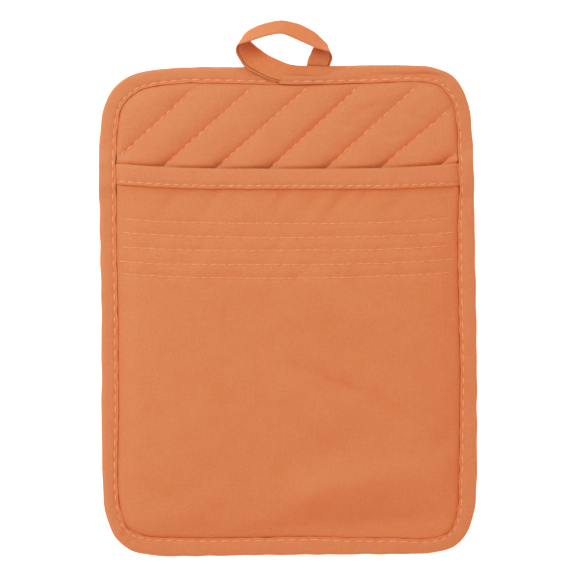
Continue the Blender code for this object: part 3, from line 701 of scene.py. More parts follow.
def sag(x, depth):
    """How far the slack cloth hangs down from there."""
    droop = 1.0 - np.abs(across_mouth(x)) ** SAG_SHARPNESS
    return MOUTH_SAG * droop * np.interp(depth, SAG_FADE_DEPTH, SAG_FADE)


def above_mouth(x, y):
    """How far a point lies above the mouth's fold."""
    return y - taut_y(x, 0.0) + sag(x, np.zeros(len(x)))


def from_lips(x):
    """Distance from the nearer side's lip, and 0 under it."""
    return np.clip(np.minimum(x - PIN_LEFT, PIN_RIGHT - x), 0.0, None)


def front_leaf(x):
    """Width of the mouth binding's front leaf."""
    return FRONT_LEAF + LEAF_WIDENING * np.clip(across_mouth(x), 0.0, 1.0) ** 2


def leaf_thickness(x):
    """Thickness of each leaf of the mouth binding, which its ends' seams squeeze."""
    return np.interp(from_lips(x), (0.0, LEAF_RELEASE), (SQUEEZED_LEAF, CLOTH))


def envelope(xy, past, mark):
    """Height of the puffs' crests, which sink to the rim, and of cloth crowded up beside it."""
    crest = GROOVE_TOP + PUFF_RISE + folds(xy, SLACK_RIM)
    return PAD_RIM_TOP + (crest - PAD_RIM_TOP) * from_rim(past) + crowded(past, mark)


def row_depth(x, row):
    """Depth of a row of stitches, which was sewn by hand and so isn't quite straight."""
    across = across_mouth(x)
    stray = sum(height * np.sin(x / run + shift * row) for height, run, shift in ROW_STRAY)
    line = STITCH_ROWS[row]
    return line.depth + line.tilt * across + line.bow * across ** 2 + stray


def row_relief(x, depth):
    """The rows of stitches draw the pocket cloth in, and it puckers a little between them."""
    rows = np.column_stack([row_depth(x, row) for row in range(len(STITCH_ROWS))])
    distances = np.abs(depth[:, None] - rows)
    nearest = distances.min(axis=1)
    row = distances.argmin(axis=1)
    valley = ROW_VALLEY * (1.0 - smooth(nearest / ROW_VALLEY_REACH)) ** ROW_VALLEY_SHARPNESS
    pitch = np.array([line.pitch for line in STITCH_ROWS])[row]
    dimple = drawn_in(ROW_DIMPLE, nearest, dives(x + ROW_SHIFT * row, pitch) ** 2)
    place = np.column_stack([x, depth * ROW_PUCKER_STRETCH + ROW_PUCKER_APART * row])
    return ripple(place, ROW_PUCKER) * fade(nearest, PUCKER_REACH) - valley - dimple


def pocket_underside(x, depth):
    """Y and height of the pocket cloth's underside."""
    y = taut_y(x, depth) - sag(x, depth)
    xy = np.column_stack([x, y])
    past, mark = near_lip(xy)
    lift = (leaf_thickness(x) + GAP) * np.interp(depth, (BACK_LEAF, LIFT_END), (1.0, 0.0))
    from_end = y + BODY_HEIGHT / 2 - LIP_ZONE
    belly = (1.0 - fade(from_lips(x), BELLY_SIDE_REACH)) * (1.0 - fade(from_end, BELLY_END_REACH))
    belly *= MOUTH_BELLY + (1.0 - MOUTH_BELLY) * smooth(depth / MOUTH_RISE)
    slack = BELLY * belly + folds(xy, POCKET_FOLDS) + sum(ripple(xy, kind) for kind in POCKET_WAVES)
    relief = row_relief(x, depth) + ripple(xy, FINE_POCKET_WAVES)
    slack += relief * smooth((depth - FRONT_LEAF) / RELIEF_START)
    return y, envelope(xy, past, mark) + GAP + lift + slack * smooth(past / BELLY_RAMP)


# ---- meshes ----
def new_piece(name, node, finish, points, faces, places):
    """A piece from points in millimetres, with its cloth's own coordinates at each face corner."""
    points = np.asarray(points, dtype=float)
    moved = (points + np.array((BODY_X, BODY_Y, 0.0))) * MM
    mesh = bpy.data.meshes.new(name)
    mesh.from_pydata(moved.tolist(), [], faces)
    mesh.validate()
    cloth = mesh.attributes.new("cloth_place", "FLOAT_VECTOR", "CORNER")
    cloth.data.foreach_set("vector", np.asarray(places, dtype=np.float32).ravel())
    mesh.materials.append(finish)
    mesh.shade_smooth()
    mesh.set_sharp_from_angle(angle=SHARP_ANGLE)
    piece = bpy.data.objects.new(name, mesh)
    bpy.context.scene.collection.objects.link(piece)
    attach(piece, "root")
    if node:
        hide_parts(node)
    return piece


def flat_places(faces, points):
    """Cloth coordinates of every face corner of a cloth that lies flat: its points' own x, y."""
    order = np.array([i for face in faces for i in face])
    spots = np.array([(point[0], point[1], 0.0) for point in points])
    return spots[order]


def triangulate(boundary, inner):
    """Triangles inside a boundary, through the inner points; also where its own points end up."""
    points = [Vector(p) for p in boundary] + [Vector(p) for p in inner]
    rim = list(range(len(boundary)))
    flat, _edges, triangles, origins, _, _ = delaunay_2d_cdt(points, [], [rim], 1, ON_EDGE)
    place = {origin: i for i, found in enumerate(origins) for origin in found}
    flat = np.array([tuple(p) for p in flat])
    return flat, [tuple(t) for t in triangles], [place[i] for i in rim]


def ring(distance, arcs):
    """The outline at those arcs, moved inwards."""
    place, normal = outline_at(arcs)
    return place - np.broadcast_to(distance, len(arcs))[:, None] * normal


def lip_rings(arcs):
    """Rings of points on either side of the front lip's edge, where the cloth turns up."""
    widths = round_outline(LIP_WIDTHS, arcs)
    return [ring(widths + past, arcs) for past in PAST_LIP_RINGS]


def inside_body(points):
    """Whether each point lies in the body's upright box."""
    return (np.abs(points[:, 0]) < BODY_WIDTH / 2) & (np.abs(points[:, 1]) < BODY_HEIGHT / 2)


def quilted_points(step, first_distance):
    """Points in rows that follow the stitched lines, evenly spread between them."""
    height = step * math.sqrt(3.0) / 2.0
    rows = []
    for line in range(len(QUILTING) - 1):
        count = round((QUILTING[line + 1].offset - QUILTING[line].offset) / height)
        for k in range(count):
            along = np.arange(-QUILT_REACH, QUILT_REACH, step) + 0.5 * step * (k % 2)
            lines = quilt_line_at(along)
            across = lines[:, line] + (lines[:, line + 1] - lines[:, line]) * k / count
            rows.append(quilt_to_xy(along, across))
    points = np.vstack(rows)
    points = points[inside_body(points)]
    return points[past_lip(points) > first_distance]


def make_pad(finish):
    """The filled panel: fine puffs in front, flatter ones behind, squeezed together at the rim."""
    arcs = np.arange(0.0, OUTLINE_LENGTH - 0.5 * PAD_BACK_STEP, PAD_BACK_STEP)
    boundary = ring(RIM_TUCK, arcs)
    fine_arcs = np.arange(0.0, OUTLINE_LENGTH - 0.5 * PAD_STEP, PAD_STEP)
    front_points = lip_rings(fine_arcs) + [quilted_points(PAD_STEP, PAST_LIP_RINGS[-1] + PAD_CLEAR)]
    front, front_faces, front_rim = triangulate(boundary, np.vstack(front_points))
    back_points = [ring(distance, arcs) for distance in BACK_RINGS]
    back_points.append(quilted_points(PAD_BACK_STEP, BACK_SWELL))
    back, back_faces, back_rim = triangulate(boundary, np.vstack(back_points))
    points = [(*p, z) for p, z in zip(front, pad_front(front))]
    points += [(*p, z) for p, z in zip(back, pad_back(back))]
    first = len(front)
    faces = front_faces + [tuple(reversed([i + first for i in face])) for face in back_faces]
    for i, here in enumerate(front_rim):
        after = (i + 1) % len(front_rim)
        faces.append((front_rim[after], here, back_rim[i] + first, back_rim[after] + first))
    places = flat_places(faces, points)
    return new_piece("quilted_cloth", "quilted_pad", finish, points, faces, places)


def mouth_stations(step):
    """X stations across the pocket's mouth, with both ends."""
    left, right = PIN_LEFT - LIP_ZONE + RIM_TUCK, PIN_RIGHT + LIP_ZONE - RIM_TUCK
    return np.linspace(left, right, round((right - left) / step))


def make_pocket(finish):
    """The slack pocket cloth, sewn in at both sides and the bottom and open at the top."""
    first = side_mark(1, mouth_y(1) - PANEL_EDGE) * FINE_STEP
    last = side_mark(-1, mouth_y(-1) - PANEL_EDGE) * FINE_STEP
    side = ring(RIM_TUCK, np.linspace(first, last, round((last - first) / PAD_BACK_STEP)))
    mouth_x = mouth_stations(MOUTH_RIM_STEP)[1:-1]
    boundary = np.vstack([side, np.column_stack([mouth_x, taut_y(mouth_x, PANEL_EDGE)])])
    height = POCKET_STEP * math.sqrt(3.0) / 2.0
    rows = []
    for k, depth in enumerate(np.arange(PANEL_EDGE + height, BODY_HEIGHT, height)):
        x = np.arange(-BODY_WIDTH / 2, BODY_WIDTH / 2, POCKET_STEP) + 0.5 * POCKET_STEP * (k % 2)
        rows.append(np.column_stack([x, taut_y(x, depth)]))
    inner = np.vstack(rows)
    inner = inner[inner[:, 1] > -BODY_HEIGHT / 2]
    inner = inner[past_lip(inner) > PAST_LIP_RINGS[-1] + POCKET_CLEAR]
    arcs = np.arange(first + POCKET_END_CLEAR, last - POCKET_END_CLEAR, POCKET_STEP)
    flat, triangles, rim = triangulate(boundary, np.vstack(lip_rings(arcs) + [inner]))
    depth = taut_y(flat[:, 0], 0.0) - flat[:, 1]
    y, under = pocket_underside(flat[:, 0], depth)
    points = list(zip(flat[:, 0], y, under))
    points += [(x, yy, z + CLOTH) for x, yy, z in points]
    shift = len(flat)
    faces = [tuple(reversed(t)) for t in triangles]
    faces += [tuple(i + shift for i in t) for t in triangles]
    for i, here in enumerate(rim):
        after = rim[(i + 1) % len(rim)]
        faces.append((here, after, after + shift, here + shift))
    places = flat_places(faces, np.vstack([flat, flat]))
    return new_piece("pocket_cloth", "pocket_panel", finish, points, faces, places)


def swept_faces(count, sides, closed):
    """Quads between one section and the next, and end caps where the sweep is open."""
    faces = []
    for i in range(count if closed else count - 1):
        here, there = i * sides, (i + 1) % count * sides
        for k in range(sides):
            after = (k + 1) % sides
            faces.append((here + after, here + k, there + k, there + after))
    if not closed:
        faces.append(tuple(range(sides)))
        faces.append(tuple(reversed(range((count - 1) * sides, count * sides))))
    return faces


def swept_places(faces, sides, along, around):
    """Cloth coordinates of a sweep's face corners; the closing quads don't run backwards."""
    places = []
    length = along[-1] + (along[1] - along[0])
    for face in faces:
        stations = [i // sides for i in face]
        spots = [i % sides for i in face]
        wraps = len(face) == 4 and max(stations) - min(stations) > 1
        turns = len(face) == 4 and max(spots) - min(spots) > 1
        for station, spot in zip(stations, spots):
            run = length if wraps and station == 0 else along[station]
            girth = around[-1] if turns and spot == 0 else around[spot]
            places.append((run, girth, 0.0))
    return places


def swept_piece(name, node, finish, points, section, along, closed=False):
    """A piece swept from section to section; the last section gives the cloth's run round it."""
    sides = len(section)
    faces = swept_faces(len(along), sides, closed)
    closed_section = np.vstack([section, section[:1]])
    lengths = np.hypot(*np.diff(closed_section, axis=0).T)
    around = np.concatenate([[0.0], np.cumsum(lengths)])
    places = swept_places(faces, sides, along, around)
    return new_piece(name, node, finish, points, faces, places)


def mouth_section(x, wave):
    """The mouth strip's section: depth below its fold, and height over the pocket's underside."""
    leaf = float(leaf_thickness(x))
    top, under = LAYER + leaf, -GAP - leaf
    lift = LEAF_LIFT * max(0.0, wave) * min(1.0, float(from_lips(x)) / LEAF_LIFT_REACH)
    edge = float(front_leaf(x)) + LEAF_WAVE * wave
    seam = edge - STITCH_INSET
    section = [(edge - 0.1, LAYER + lift), (edge, LAYER + 0.4 * leaf + lift),
               (edge - 0.08, top - 0.15 + lift)]
    beside_seam = [seam + past for past in (1.3, 0.8, 0.4, 0.0, -0.4, -0.8, -1.4)]
    for depth in beside_seam + [7.0, 6.0, 5.0, 4.0, 3.0, 2.2]:
        past_seam = depth - seam
        valley = drawn_in(MOUTH_VALLEY, past_seam, dives(x, MOUTH_PITCH) ** 2)
        puff = MOUTH_PUFF * math.sin(math.pi * min(1.0, depth / seam)) * min(1.0, leaf)
        near_edge = max(0.0, past_seam / STITCH_INSET)
        section.append((depth, top + puff - valley + lift * near_edge))
    soft = 0.3 * FOLD_ROUND
    section += [(FOLD_ROUND, top), (0.6 * FOLD_ROUND, top - 0.1), (soft, top - soft),
                (0.08, top - 0.8), (0.0, (top + under) / 2), (0.08, under + 0.8),
                (soft, under + soft), (FOLD_ROUND, under), (5.0, under), (BACK_LEAF - 0.2, under),
                (BACK_LEAF, under + 0.3), (BACK_LEAF, -GAP), (5.0, -GAP), (CLOTH, -GAP),
                (CLOTH, LAYER), (5.0, LAYER), (BACK_LEAF, LAYER)]
    return section


def make_mouth_binding(finish):
    """The folded strip over the pocket's mouth."""
    stations = mouth_stations(MOUTH_STEP)
    waves = ripple(np.column_stack([stations, np.zeros(len(stations))]), MOUTH_LEAF_WAVES)
    points = []
    for x, wave in zip(stations, waves):
        section = np.array(mouth_section(x, wave))
        y, base = pocket_underside(np.full(len(section), x), section[:, 0])
        points += [(x, yy, z) for yy, z in zip(y, base + section[:, 1])]
    return swept_piece("mouth_binding", "pocket_binding", finish, points, section, stations)


def lip_underside(arcs):
    """The edge binding's front lip climbs over the pocket and over the mouth binding's ends."""
    place, _normal = outline_at(arcs)
    depth = np.where(place[:, 0] < 0.0, mouth_y(-1), mouth_y(1)) - place[:, 1]
    bare = PAD_RIM_TOP + GAP
    over_pocket = bare + LAYER
    over_mouth = over_pocket + 2 * (SQUEEZED_LEAF + GAP)
    heights = (bare, over_mouth, over_mouth, over_pocket)
    return np.interp(depth, LIP_RAMP_ABOVE + LIP_RAMP_BELOW, heights)


def corner_share(normals):
    """1 in the middle of a corner's bend, 0 along the straight sides."""
    return smooth(PLEAT_ROOM[0] * np.abs(normals[:, 0] * normals[:, 1]) - PLEAT_ROOM[1])


def edge_section(lip, width, bulge, pleat, out, back, dive):
    """The edge strip's section: distance in from the outline, and height."""
    top = lip + CLOTH
    section = [(width - 0.12, lip + 0.02), (width, lip + 0.35), (width - 0.10, top - 0.22),
               (width - 0.40, top - 0.04)]
    run = width - 0.9 - (width - 0.9 - 2.4) * np.linspace(0.0, 1.0, 13)
    seam = width - STITCH_INSET
    hump = np.sin(math.pi * np.clip((seam - run) / (seam - 0.6), 0.0, 1.0)) ** 0.8
    valley = drawn_in(EDGE_VALLEY, run - seam, dive)
    section += list(zip(run, top + bulge * hump - valley + PLEAT_HEIGHT * pleat * hump))
    crown = top - 0.05 + 0.4 * bulge
    for angle in np.radians((78.0, 62.0, 46.0, 30.0, 14.0)):
        section.append((out + BINDING_ROUND * (1.0 - math.cos(angle) ** 0.9),
                        crown - BINDING_ROUND * (1.0 - math.sin(angle))))
    section.append((out, 0.55 * (crown - BINDING_ROUND) + 0.6))
    for angle in np.radians((20.0, 45.0, 70.0)):
        section.append((out + BACK_ROUND * (1.0 - math.cos(angle)),
                        BACK_ROUND * (1.0 - math.sin(angle))))
    back_seam = back - STITCH_INSET
    section += [(2.4, 0.0), (4.5, 0.0), (back_seam - 0.8, 0.0), (back_seam, 0.10 + 0.10 * dive),
                (back_seam + 0.7, 0.02), (back - 0.25, 0.06), (back, 0.45), (back - 0.1, CLOTH),
                (4.5, CLOTH), (BINDING_WALL, CLOTH), (BINDING_WALL, lip), (4.5, lip)]
    return np.array(section)


def make_edge_binding(finish):
    """The folded strip all round, with its seam's valley, a soft fold and small pleats."""
    count = round(OUTLINE_LENGTH / BINDING_STEP)
    arcs = np.arange(count) * OUTLINE_LENGTH / count
    place, normal = outline_at(arcs)
    turn = 2.0 * math.pi * arcs / OUTLINE_LENGTH
    circle = np.column_stack([np.cos(turn), np.sin(turn)]) * OUTLINE_LENGTH / (2.0 * math.pi)
    widths = round_outline(LIP_WIDTHS, arcs) + ripple(circle, LIP_WIDTH_WAVES)
    values = zip(lip_underside(arcs), widths, LIP_BULGE + ripple(circle, LIP_BULGE_WAVES),
                 corner_share(normal) * ripple(circle, PLEAT_WAVES), ripple(circle, EDGE_WAVES),
                 BACK_LIP_REACH + ripple(circle, BACK_LIP_WAVES), dives(arcs, EDGE_PITCH) ** 2)
    points = []
    for here, outwards, value in zip(place, normal, values):
        section = edge_section(*value)
        spots = here - section[:, :1] * outwards
        heights = section[:, 1].copy()
        heights[FOLDED_SPOTS] += folds(spots[FOLDED_SPOTS], BINDING_FOLDS)
        points += [(x, y, z) for (x, y), z in zip(spots, heights)]
    return swept_piece("edge_binding_strip", "edge_binding", finish, points, section, arcs,
                       closed=True)


def tape_section(half, step, swell):
    """The folded tape's section: across its face towards the near rim, and out of its face."""
    thick, slit = TAPE_THICKNESS / 2, TAPE_SLIT / 2
    return [
        (half - 0.12, -thick), (half, -thick + 0.2), (half, -slit - 0.1), (half - 0.1, -slit),
        (0.4 * half, -slit), (-0.4 * half, -slit), (-half + 0.8, 0.0), (-0.4 * half, slit),
        (0.4 * half, slit), (half - step - 0.1, slit), (half - step, slit + 0.1),
        (half - step, thick - 0.2), (half - step - 0.12, thick), (half - 1.4, thick + 0.04),
        (0.35 * half, thick + 0.08 + swell), (-0.2 * half, thick + swell),
        (-0.65 * half, thick + 0.5 * swell), (-half + 0.7, thick - 0.05),
        (-half + 0.25, thick - 0.3), (-half, 0.0), (-half + 0.25, -thick + 0.3),
        (-half + 0.7, -thick + 0.05), (-0.65 * half, -thick), (-0.2 * half, -thick),
        (0.35 * half, -thick), (half - 1.4, -thick),
    ]


def make_hanging_loop(finish):
    """The tape, folded lengthwise: its fold is the far rim, its edges show along the near rim."""
    route = through_points(LOOP_ROUTE, LOOP_STEPS)
    far, near = route[:, :3], route[:, 3:]
    middle = (far + near) / 2
    lengths = np.linalg.norm(np.diff(middle, axis=0), axis=1)
    along = np.concatenate([[0.0], np.cumsum(lengths)])
    points = []
    for place, ahead, across, run in zip(middle, np.gradient(middle, axis=0), near - far, along):
        half = np.linalg.norm(across) / 2
        across = across / (2 * half)
        face = np.cross(ahead, across)
        face /= np.linalg.norm(face)
        swell = sum(high * math.sin(run / long + shift) for high, long, shift in TAPE_SWELLS)
        step = LEAF_STEP * (1.0 - STEP_WAVE + STEP_WAVE * math.sin(run / STEP_WAVE_RUN))
        section = tape_section(half, step, swell)
        points += [tuple(place + wide * across + deep * face) for wide, deep in section]
    return swept_piece("loop_tape", "hanging_loop", finish, points, section, along)


def cover_section(low, high, z, wrap, dive):
    """The section of the strip over the tape's ends: y and height, from its edge up and back."""
    seam = low + STITCH_INSET
    wide = high - low
    fall = 0.7 + 3.6 * wrap
    section = [(low + 0.15, z - 1.7), (low, z - 1.1), (low + 0.1, z - 0.5), (low + 0.45, z - 0.12)]
    for share in np.linspace(0.0, 1.0, 11):
        y = low + 0.9 + (wide - 0.9 - 0.5 - 0.9 * wrap) * share
        hump = 0.25 * math.sin(math.pi * share) ** 0.8
        section.append((y, z + hump - drawn_in(COVER_VALLEY, y - seam, dive)))
    section += [(high - 0.25 - 0.35 * wrap, z - 0.08 - 0.3 * wrap), (high - 0.05, z - 0.3 * fall),
                (high, z - 0.65 * fall), (high - 0.05, z - fall), (high - 0.6, z - fall),
                (high - 0.7, z - 0.75), (low + 0.5 * wide, z - 0.75), (low + 0.8, z - 0.85),
                (low + 0.7, z - 1.7)]
    return np.array(section)


def make_loop_cover(finish):
    """The edge binding where it runs on over the tape's ends: narrow at the left, then full."""
    along, *columns = (np.array(column) for column in zip(*COVER_ROUTE))
    stations = np.arange(along[0], along[-1], BINDING_STEP)
    upper, wraps, crests = (np.interp(stations, along, column) for column in columns)
    widths = round_outline(LIP_WIDTHS, stations)
    lower = BODY_HEIGHT / 2 - widths - COVER_WAVE * np.sin(stations / COVER_WAVE_RUN)
    dive = dives(stations, EDGE_PITCH) ** 2
    points = []
    for x, *values in zip(stations, lower, upper, crests, wraps, dive):
        section = cover_section(*values)
        spots = np.column_stack([np.full(len(section), x), section[:, 0]])
        heights = section[:, 1] + folds(spots, BINDING_FOLDS)
        points += [(x, y, z) for y, z in zip(section[:, 0], heights)]
    return swept_piece("edge_binding_over_loop", "edge_binding", finish, points, section, stations)


# ---- seams ----
def surface_tree(*pieces):
    """The pieces' surface, to lay stitches on."""
    vertices, faces = [], []
    for piece in pieces:
        first = len(vertices)
        vertices += [v.co / MM - Vector((BODY_X, BODY_Y, 0.0)) for v in piece.data.vertices]
        faces += [tuple(first + i for i in polygon.vertices) for polygon in piece.data.polygons]
    return BVHTree.FromPolygons(vertices, faces)


def laid_on(tree, xy, from_above):
    """Where a line straight down (or up) to each point meets the surface, and its normal."""
    side = 1.0 if from_above else -1.0
    heading = Vector((0.0, 0.0, -side))
    found = [tree.ray_cast(Vector((x, y, side * LAYING_HEIGHT)), heading) for x, y in xy]
    if any(hit[0] is None for hit in found):
        return None, None
    places = np.array([tuple(hit[0]) for hit in found])
    normals = np.array([tuple(hit[1]) for hit in found])
    return places, normals * (np.sign(normals[:, 2]) * side)[:, None]


def add_stitch(points, faces, places, places_up, slant, half_width):
    """One stitch: a short thread whose two ends dive into the cloth."""
    along = np.gradient(places, axis=0)
    along /= np.linalg.norm(along, axis=1)[:, None]
    aside = np.cross(places_up, along)
    aside /= np.linalg.norm(aside, axis=1)[:, None]
    first = len(points)
    lean = slant * (STITCH_SPOTS - 0.5)
    centres = places + places_up * STITCH_RISE[:, None] + aside * lean[:, None]
    for centre, up, across, girth in zip(centres, places_up, aside, STITCH_GIRTH):
        for k in range(THREAD_SIDES):
            turn = 2.0 * math.pi * k / THREAD_SIDES
            wide = half_width * math.cos(turn) * girth
            deep = THREAD_FLATNESS * half_width * math.sin(turn) * girth
            points.append(tuple(centre + wide * across + deep * up))
    for face in swept_faces(len(centres), THREAD_SIDES, closed=False):
        if len(face) == 4:
            face = face[1:] + face[:1]
        faces.append(tuple(first + i for i in face))


def lay_stitches(name, finish, tree, seam, runs, from_above=True, slant=STITCH_SLANT):
    """Rows of stitches.  A run is its stitches' pitch, marks along it, and the marks' x, y."""
    points, faces = [], []
    for pitch, marks, run in runs:
        length = seam.share * pitch
        first = math.ceil((marks[0] + STITCH_ROOM * length) / pitch)
        last = math.floor((marks[-1] - STITCH_ROOM * length) / pitch)
        for k in range(first, last + 1):
            middle = pitch * k + rng.uniform(-STITCH_SHIFT, STITCH_SHIFT)
            spots = middle + length * rng.uniform(*STITCH_LENGTHS) * (STITCH_SPOTS - 0.5)
            xy = np.column_stack([np.interp(spots, marks, run[:, c]) for c in (0, 1)])
            xy += rng.uniform(-STITCH_STRAY, STITCH_STRAY)
            places, up = laid_on(tree, xy, from_above)
            if places is not None:
                lean = slant + rng.uniform(-SLANT_STRAY, SLANT_STRAY)
                add_stitch(points, faces, places, up, lean, seam.half_width)
    piece = new_piece(name, None, finish, points, faces, flat_places(faces, points))


def binding_seam(widths):
    """The edge binding's seam: a closed line beside the lip's edge."""
    arcs = np.arange(0.0, OUTLINE_LENGTH + RUN_STEP, RUN_STEP)
    place, normal = outline_at(arcs % OUTLINE_LENGTH)
    distance = np.broadcast_to(widths, OUTLINE_ARC.shape)
    distance = np.interp(arcs, OUTLINE_ARC, distance, period=OUTLINE_LENGTH) - STITCH_INSET
    return EDGE_PITCH, arcs, place - distance[:, None] * normal


def across_pocket(margin, depth_at):
    """X stations from lip to lip, and the points of the slack pocket cloth at their depths."""
    x = np.arange(PIN_LEFT + margin, PIN_RIGHT - margin, RUN_STEP)
    depths = depth_at(x)
    return x, np.column_stack([x, taut_y(x, depths) - sag(x, depths)])


def mouth_seam():
    """The mouth binding's seam, beside its lower edge."""
    return MOUTH_PITCH, *across_pocket(MOUTH_SEAM_START, lambda x: front_leaf(x) - STITCH_INSET)


def pocket_row(row):
    """One of the rows of stitches across the pocket, which isn't quite straight."""
    x, points = across_pocket(ROW_START, lambda x: row_depth(x, row))
    return STITCH_ROWS[row].pitch, x + ROW_SHIFT * row, points


def quilting_seams(bare_only):
    """The quilting's stitched lines, cut off at the rim, and at the pocket's mouth too if asked."""
    runs = []
    along = np.arange(-QUILT_REACH, QUILT_REACH, RUN_STEP)
    for across in quilt_line_at(along).T:
        run = quilt_to_xy(along, across)
        shown = inside_body(run)
        shown[shown] = past_lip(run[shown]) > QUILT_START
        if bare_only:
            shown &= above_mouth(run[:, 0], run[:, 1]) > QUILT_ABOVE_MOUTH
        if shown.sum() > LEAST_MARKS:
            runs.append((QUILT_PITCH, along[shown], run[shown]))
    return runs


def sew_all(pad, pocket, mouth, edge, cover):
    """Every visible seam, as stitches laid on the finished surfaces."""
    on_edge, on_mouth = surface_tree(edge, cover), surface_tree(mouth)
    on_pocket, on_pad = surface_tree(pocket), surface_tree(pad)
    thread = thread_material("thread", THREAD_ORANGE)
    fine = thread_material("fine_thread", FINE_THREAD_ORANGE)
    rows = [pocket_row(row) for row in range(len(STITCH_ROWS))]
    lay_stitches("edge_seam_front", thread, on_edge, EDGE_SEAM,
                 [binding_seam(LIP_AT_MARK)])
    lay_stitches("edge_seam_back", thread, on_edge, EDGE_SEAM,
                 [binding_seam(BACK_LIP_REACH)], from_above=False)
    lay_stitches("mouth_seam", thread, on_mouth, MOUTH_SEAM, [mouth_seam()])
    lay_stitches("pocket_rows", fine, on_pocket, ROW_SEAM, rows, slant=ROW_SLANT)
    lay_stitches("quilting_front", thread, on_pad, QUILT_SEAM,
                 quilting_seams(bare_only=True))
    lay_stitches("quilting_back", thread, on_pad, QUILT_SEAM,
                 quilting_seams(bare_only=False), from_above=False)


# ---- shader nodes ----
def add_node(tree, kind, inputs=None, **settings):
    """A node with its settings, and values or links for its inputs, by their name or number."""
    node = tree.nodes.new(kind)
    for name, value in settings.items():
        setattr(node, name, value)
    for name, value in (inputs or {}).items():
        socket = node.inputs[name]
        if isinstance(value, bpy.types.NodeSocket):
            tree.links.new(value, socket)
        else:
            socket.default_value = value
    return node


def calculate(tree, operation, first, second=0.0, third=0.0):
    """The result of one Math node."""
    inputs = {0: first, 1: second, 2: third}
    return add_node(tree, "ShaderNodeMath", inputs, operation=operation).outputs[0]


def vectors(tree, operation, first, second):
    """The result of one Vector Math node."""
    inputs = {0: first, ("Scale" if operation == "SCALE" else 1): second}
    return add_node(tree, "ShaderNodeVectorMath", inputs, operation=operation).outputs[0]


def noise(tree, place, scale, detail, roughness=0.5, output="Fac"):
    """Soft noise of that scale, per millimetre of cloth."""
    inputs = {"Vector": place, "Scale": scale, "Detail": detail, "Roughness": roughness}
    return add_node(tree, "ShaderNodeTexNoise", inputs).outputs[output]


def share_between(tree, value, low, high):
    """0 where the value is low, 1 where it is high, and in between."""
    inputs = {"Value": value, "From Min": low, "From Max": high}
    return add_node(tree, "ShaderNodeMapRange", inputs).outputs[0]


def blend_colors(tree, share, first, second):
    """The second colour over the first, by its share."""
    inputs = {"Factor": share, 6: first, 7: second}
    return add_node(tree, "ShaderNodeMix", inputs, data_type="RGBA").outputs[2]


def use_group(tree, name, inputs):
    """One of the shared effects, placed in a tree with values of its own."""
    group = bpy.data.node_groups[name]
    return add_node(tree, "ShaderNodeGroup", inputs, node_tree=group).outputs[0]


def new_group(name, inputs, output, output_kind):
    """A shader node group with named sockets: its inputs' sockets, and where its result goes."""
    group = bpy.data.node_groups.new(name, "ShaderNodeTree")
    for title, kind, value in inputs:
        socket = group.interface.new_socket(name=title, in_out="INPUT", socket_type=kind)
        if value is not None:
            socket.default_value = value
    group.interface.new_socket(name=output, in_out="OUTPUT", socket_type=output_kind)
    given = group.nodes.new("NodeGroupInput").outputs
    return group, given, group.nodes.new("NodeGroupOutput").inputs[output]


def make_weave_group():
    """Plain weave: yarns that pass over and under each other, in the cloth's own millimetres."""
    group, given, result = new_group(
        "plain weave",
        [("Place", "NodeSocketVector", None), ("Yarn Pitch", "NodeSocketFloat", YARN_PITCH)],
        "Height", "NodeSocketFloat")
    per_yarn = calculate(group, "DIVIDE", 1.0, given["Yarn Pitch"])
    place = vectors(group, "SCALE", given["Place"], per_yarn)
    wobble = noise(group, given["Place"], scale=0.35, detail=2.0, output="Color")
    moved = vectors(group, "ADD", place, vectors(group, "SCALE", wobble, YARN_WOBBLE))
    axes = add_node(group, "ShaderNodeSeparateXYZ", {"Vector": moved}).outputs
    signs = [calculate(group, "COSINE", calculate(group, "MULTIPLY", axes[axis], math.pi))
             for axis in ("X", "Y")]
    crests = [calculate(group, "MULTIPLY", sign, sign) for sign in signs]
    over = calculate(group, "MULTIPLY_ADD", calculate(group, "MULTIPLY", *signs), 0.5, 0.5)
    warp = calculate(group, "MULTIPLY", crests[0], over)
    weft = calculate(group, "MULTIPLY", crests[1], calculate(group, "SUBTRACT", 1.0, over))
    group.links.new(calculate(group, "MAXIMUM", warp, weft), result)


def make_streak_group():
    """Yarns that are thicker or thinner along their length, as streaks both ways."""
    group, given, result = new_group(
        "yarn streaks",
        [("Place", "NodeSocketVector", None), ("Scale", "NodeSocketFloat", 1.0)],
        "Value", "NodeSocketFloat")
    values = []
    for stretch in ((0.09, 1.5, 1.0), (1.5, 0.09, 1.0)):
        place = vectors(group, "MULTIPLY", given["Place"], stretch)
        values.append(noise(group, place, scale=given["Scale"], detail=2.0, roughness=0.6))
    total = calculate(group, "ADD", *values)
    group.links.new(calculate(group, "MULTIPLY", total, 0.5), result)


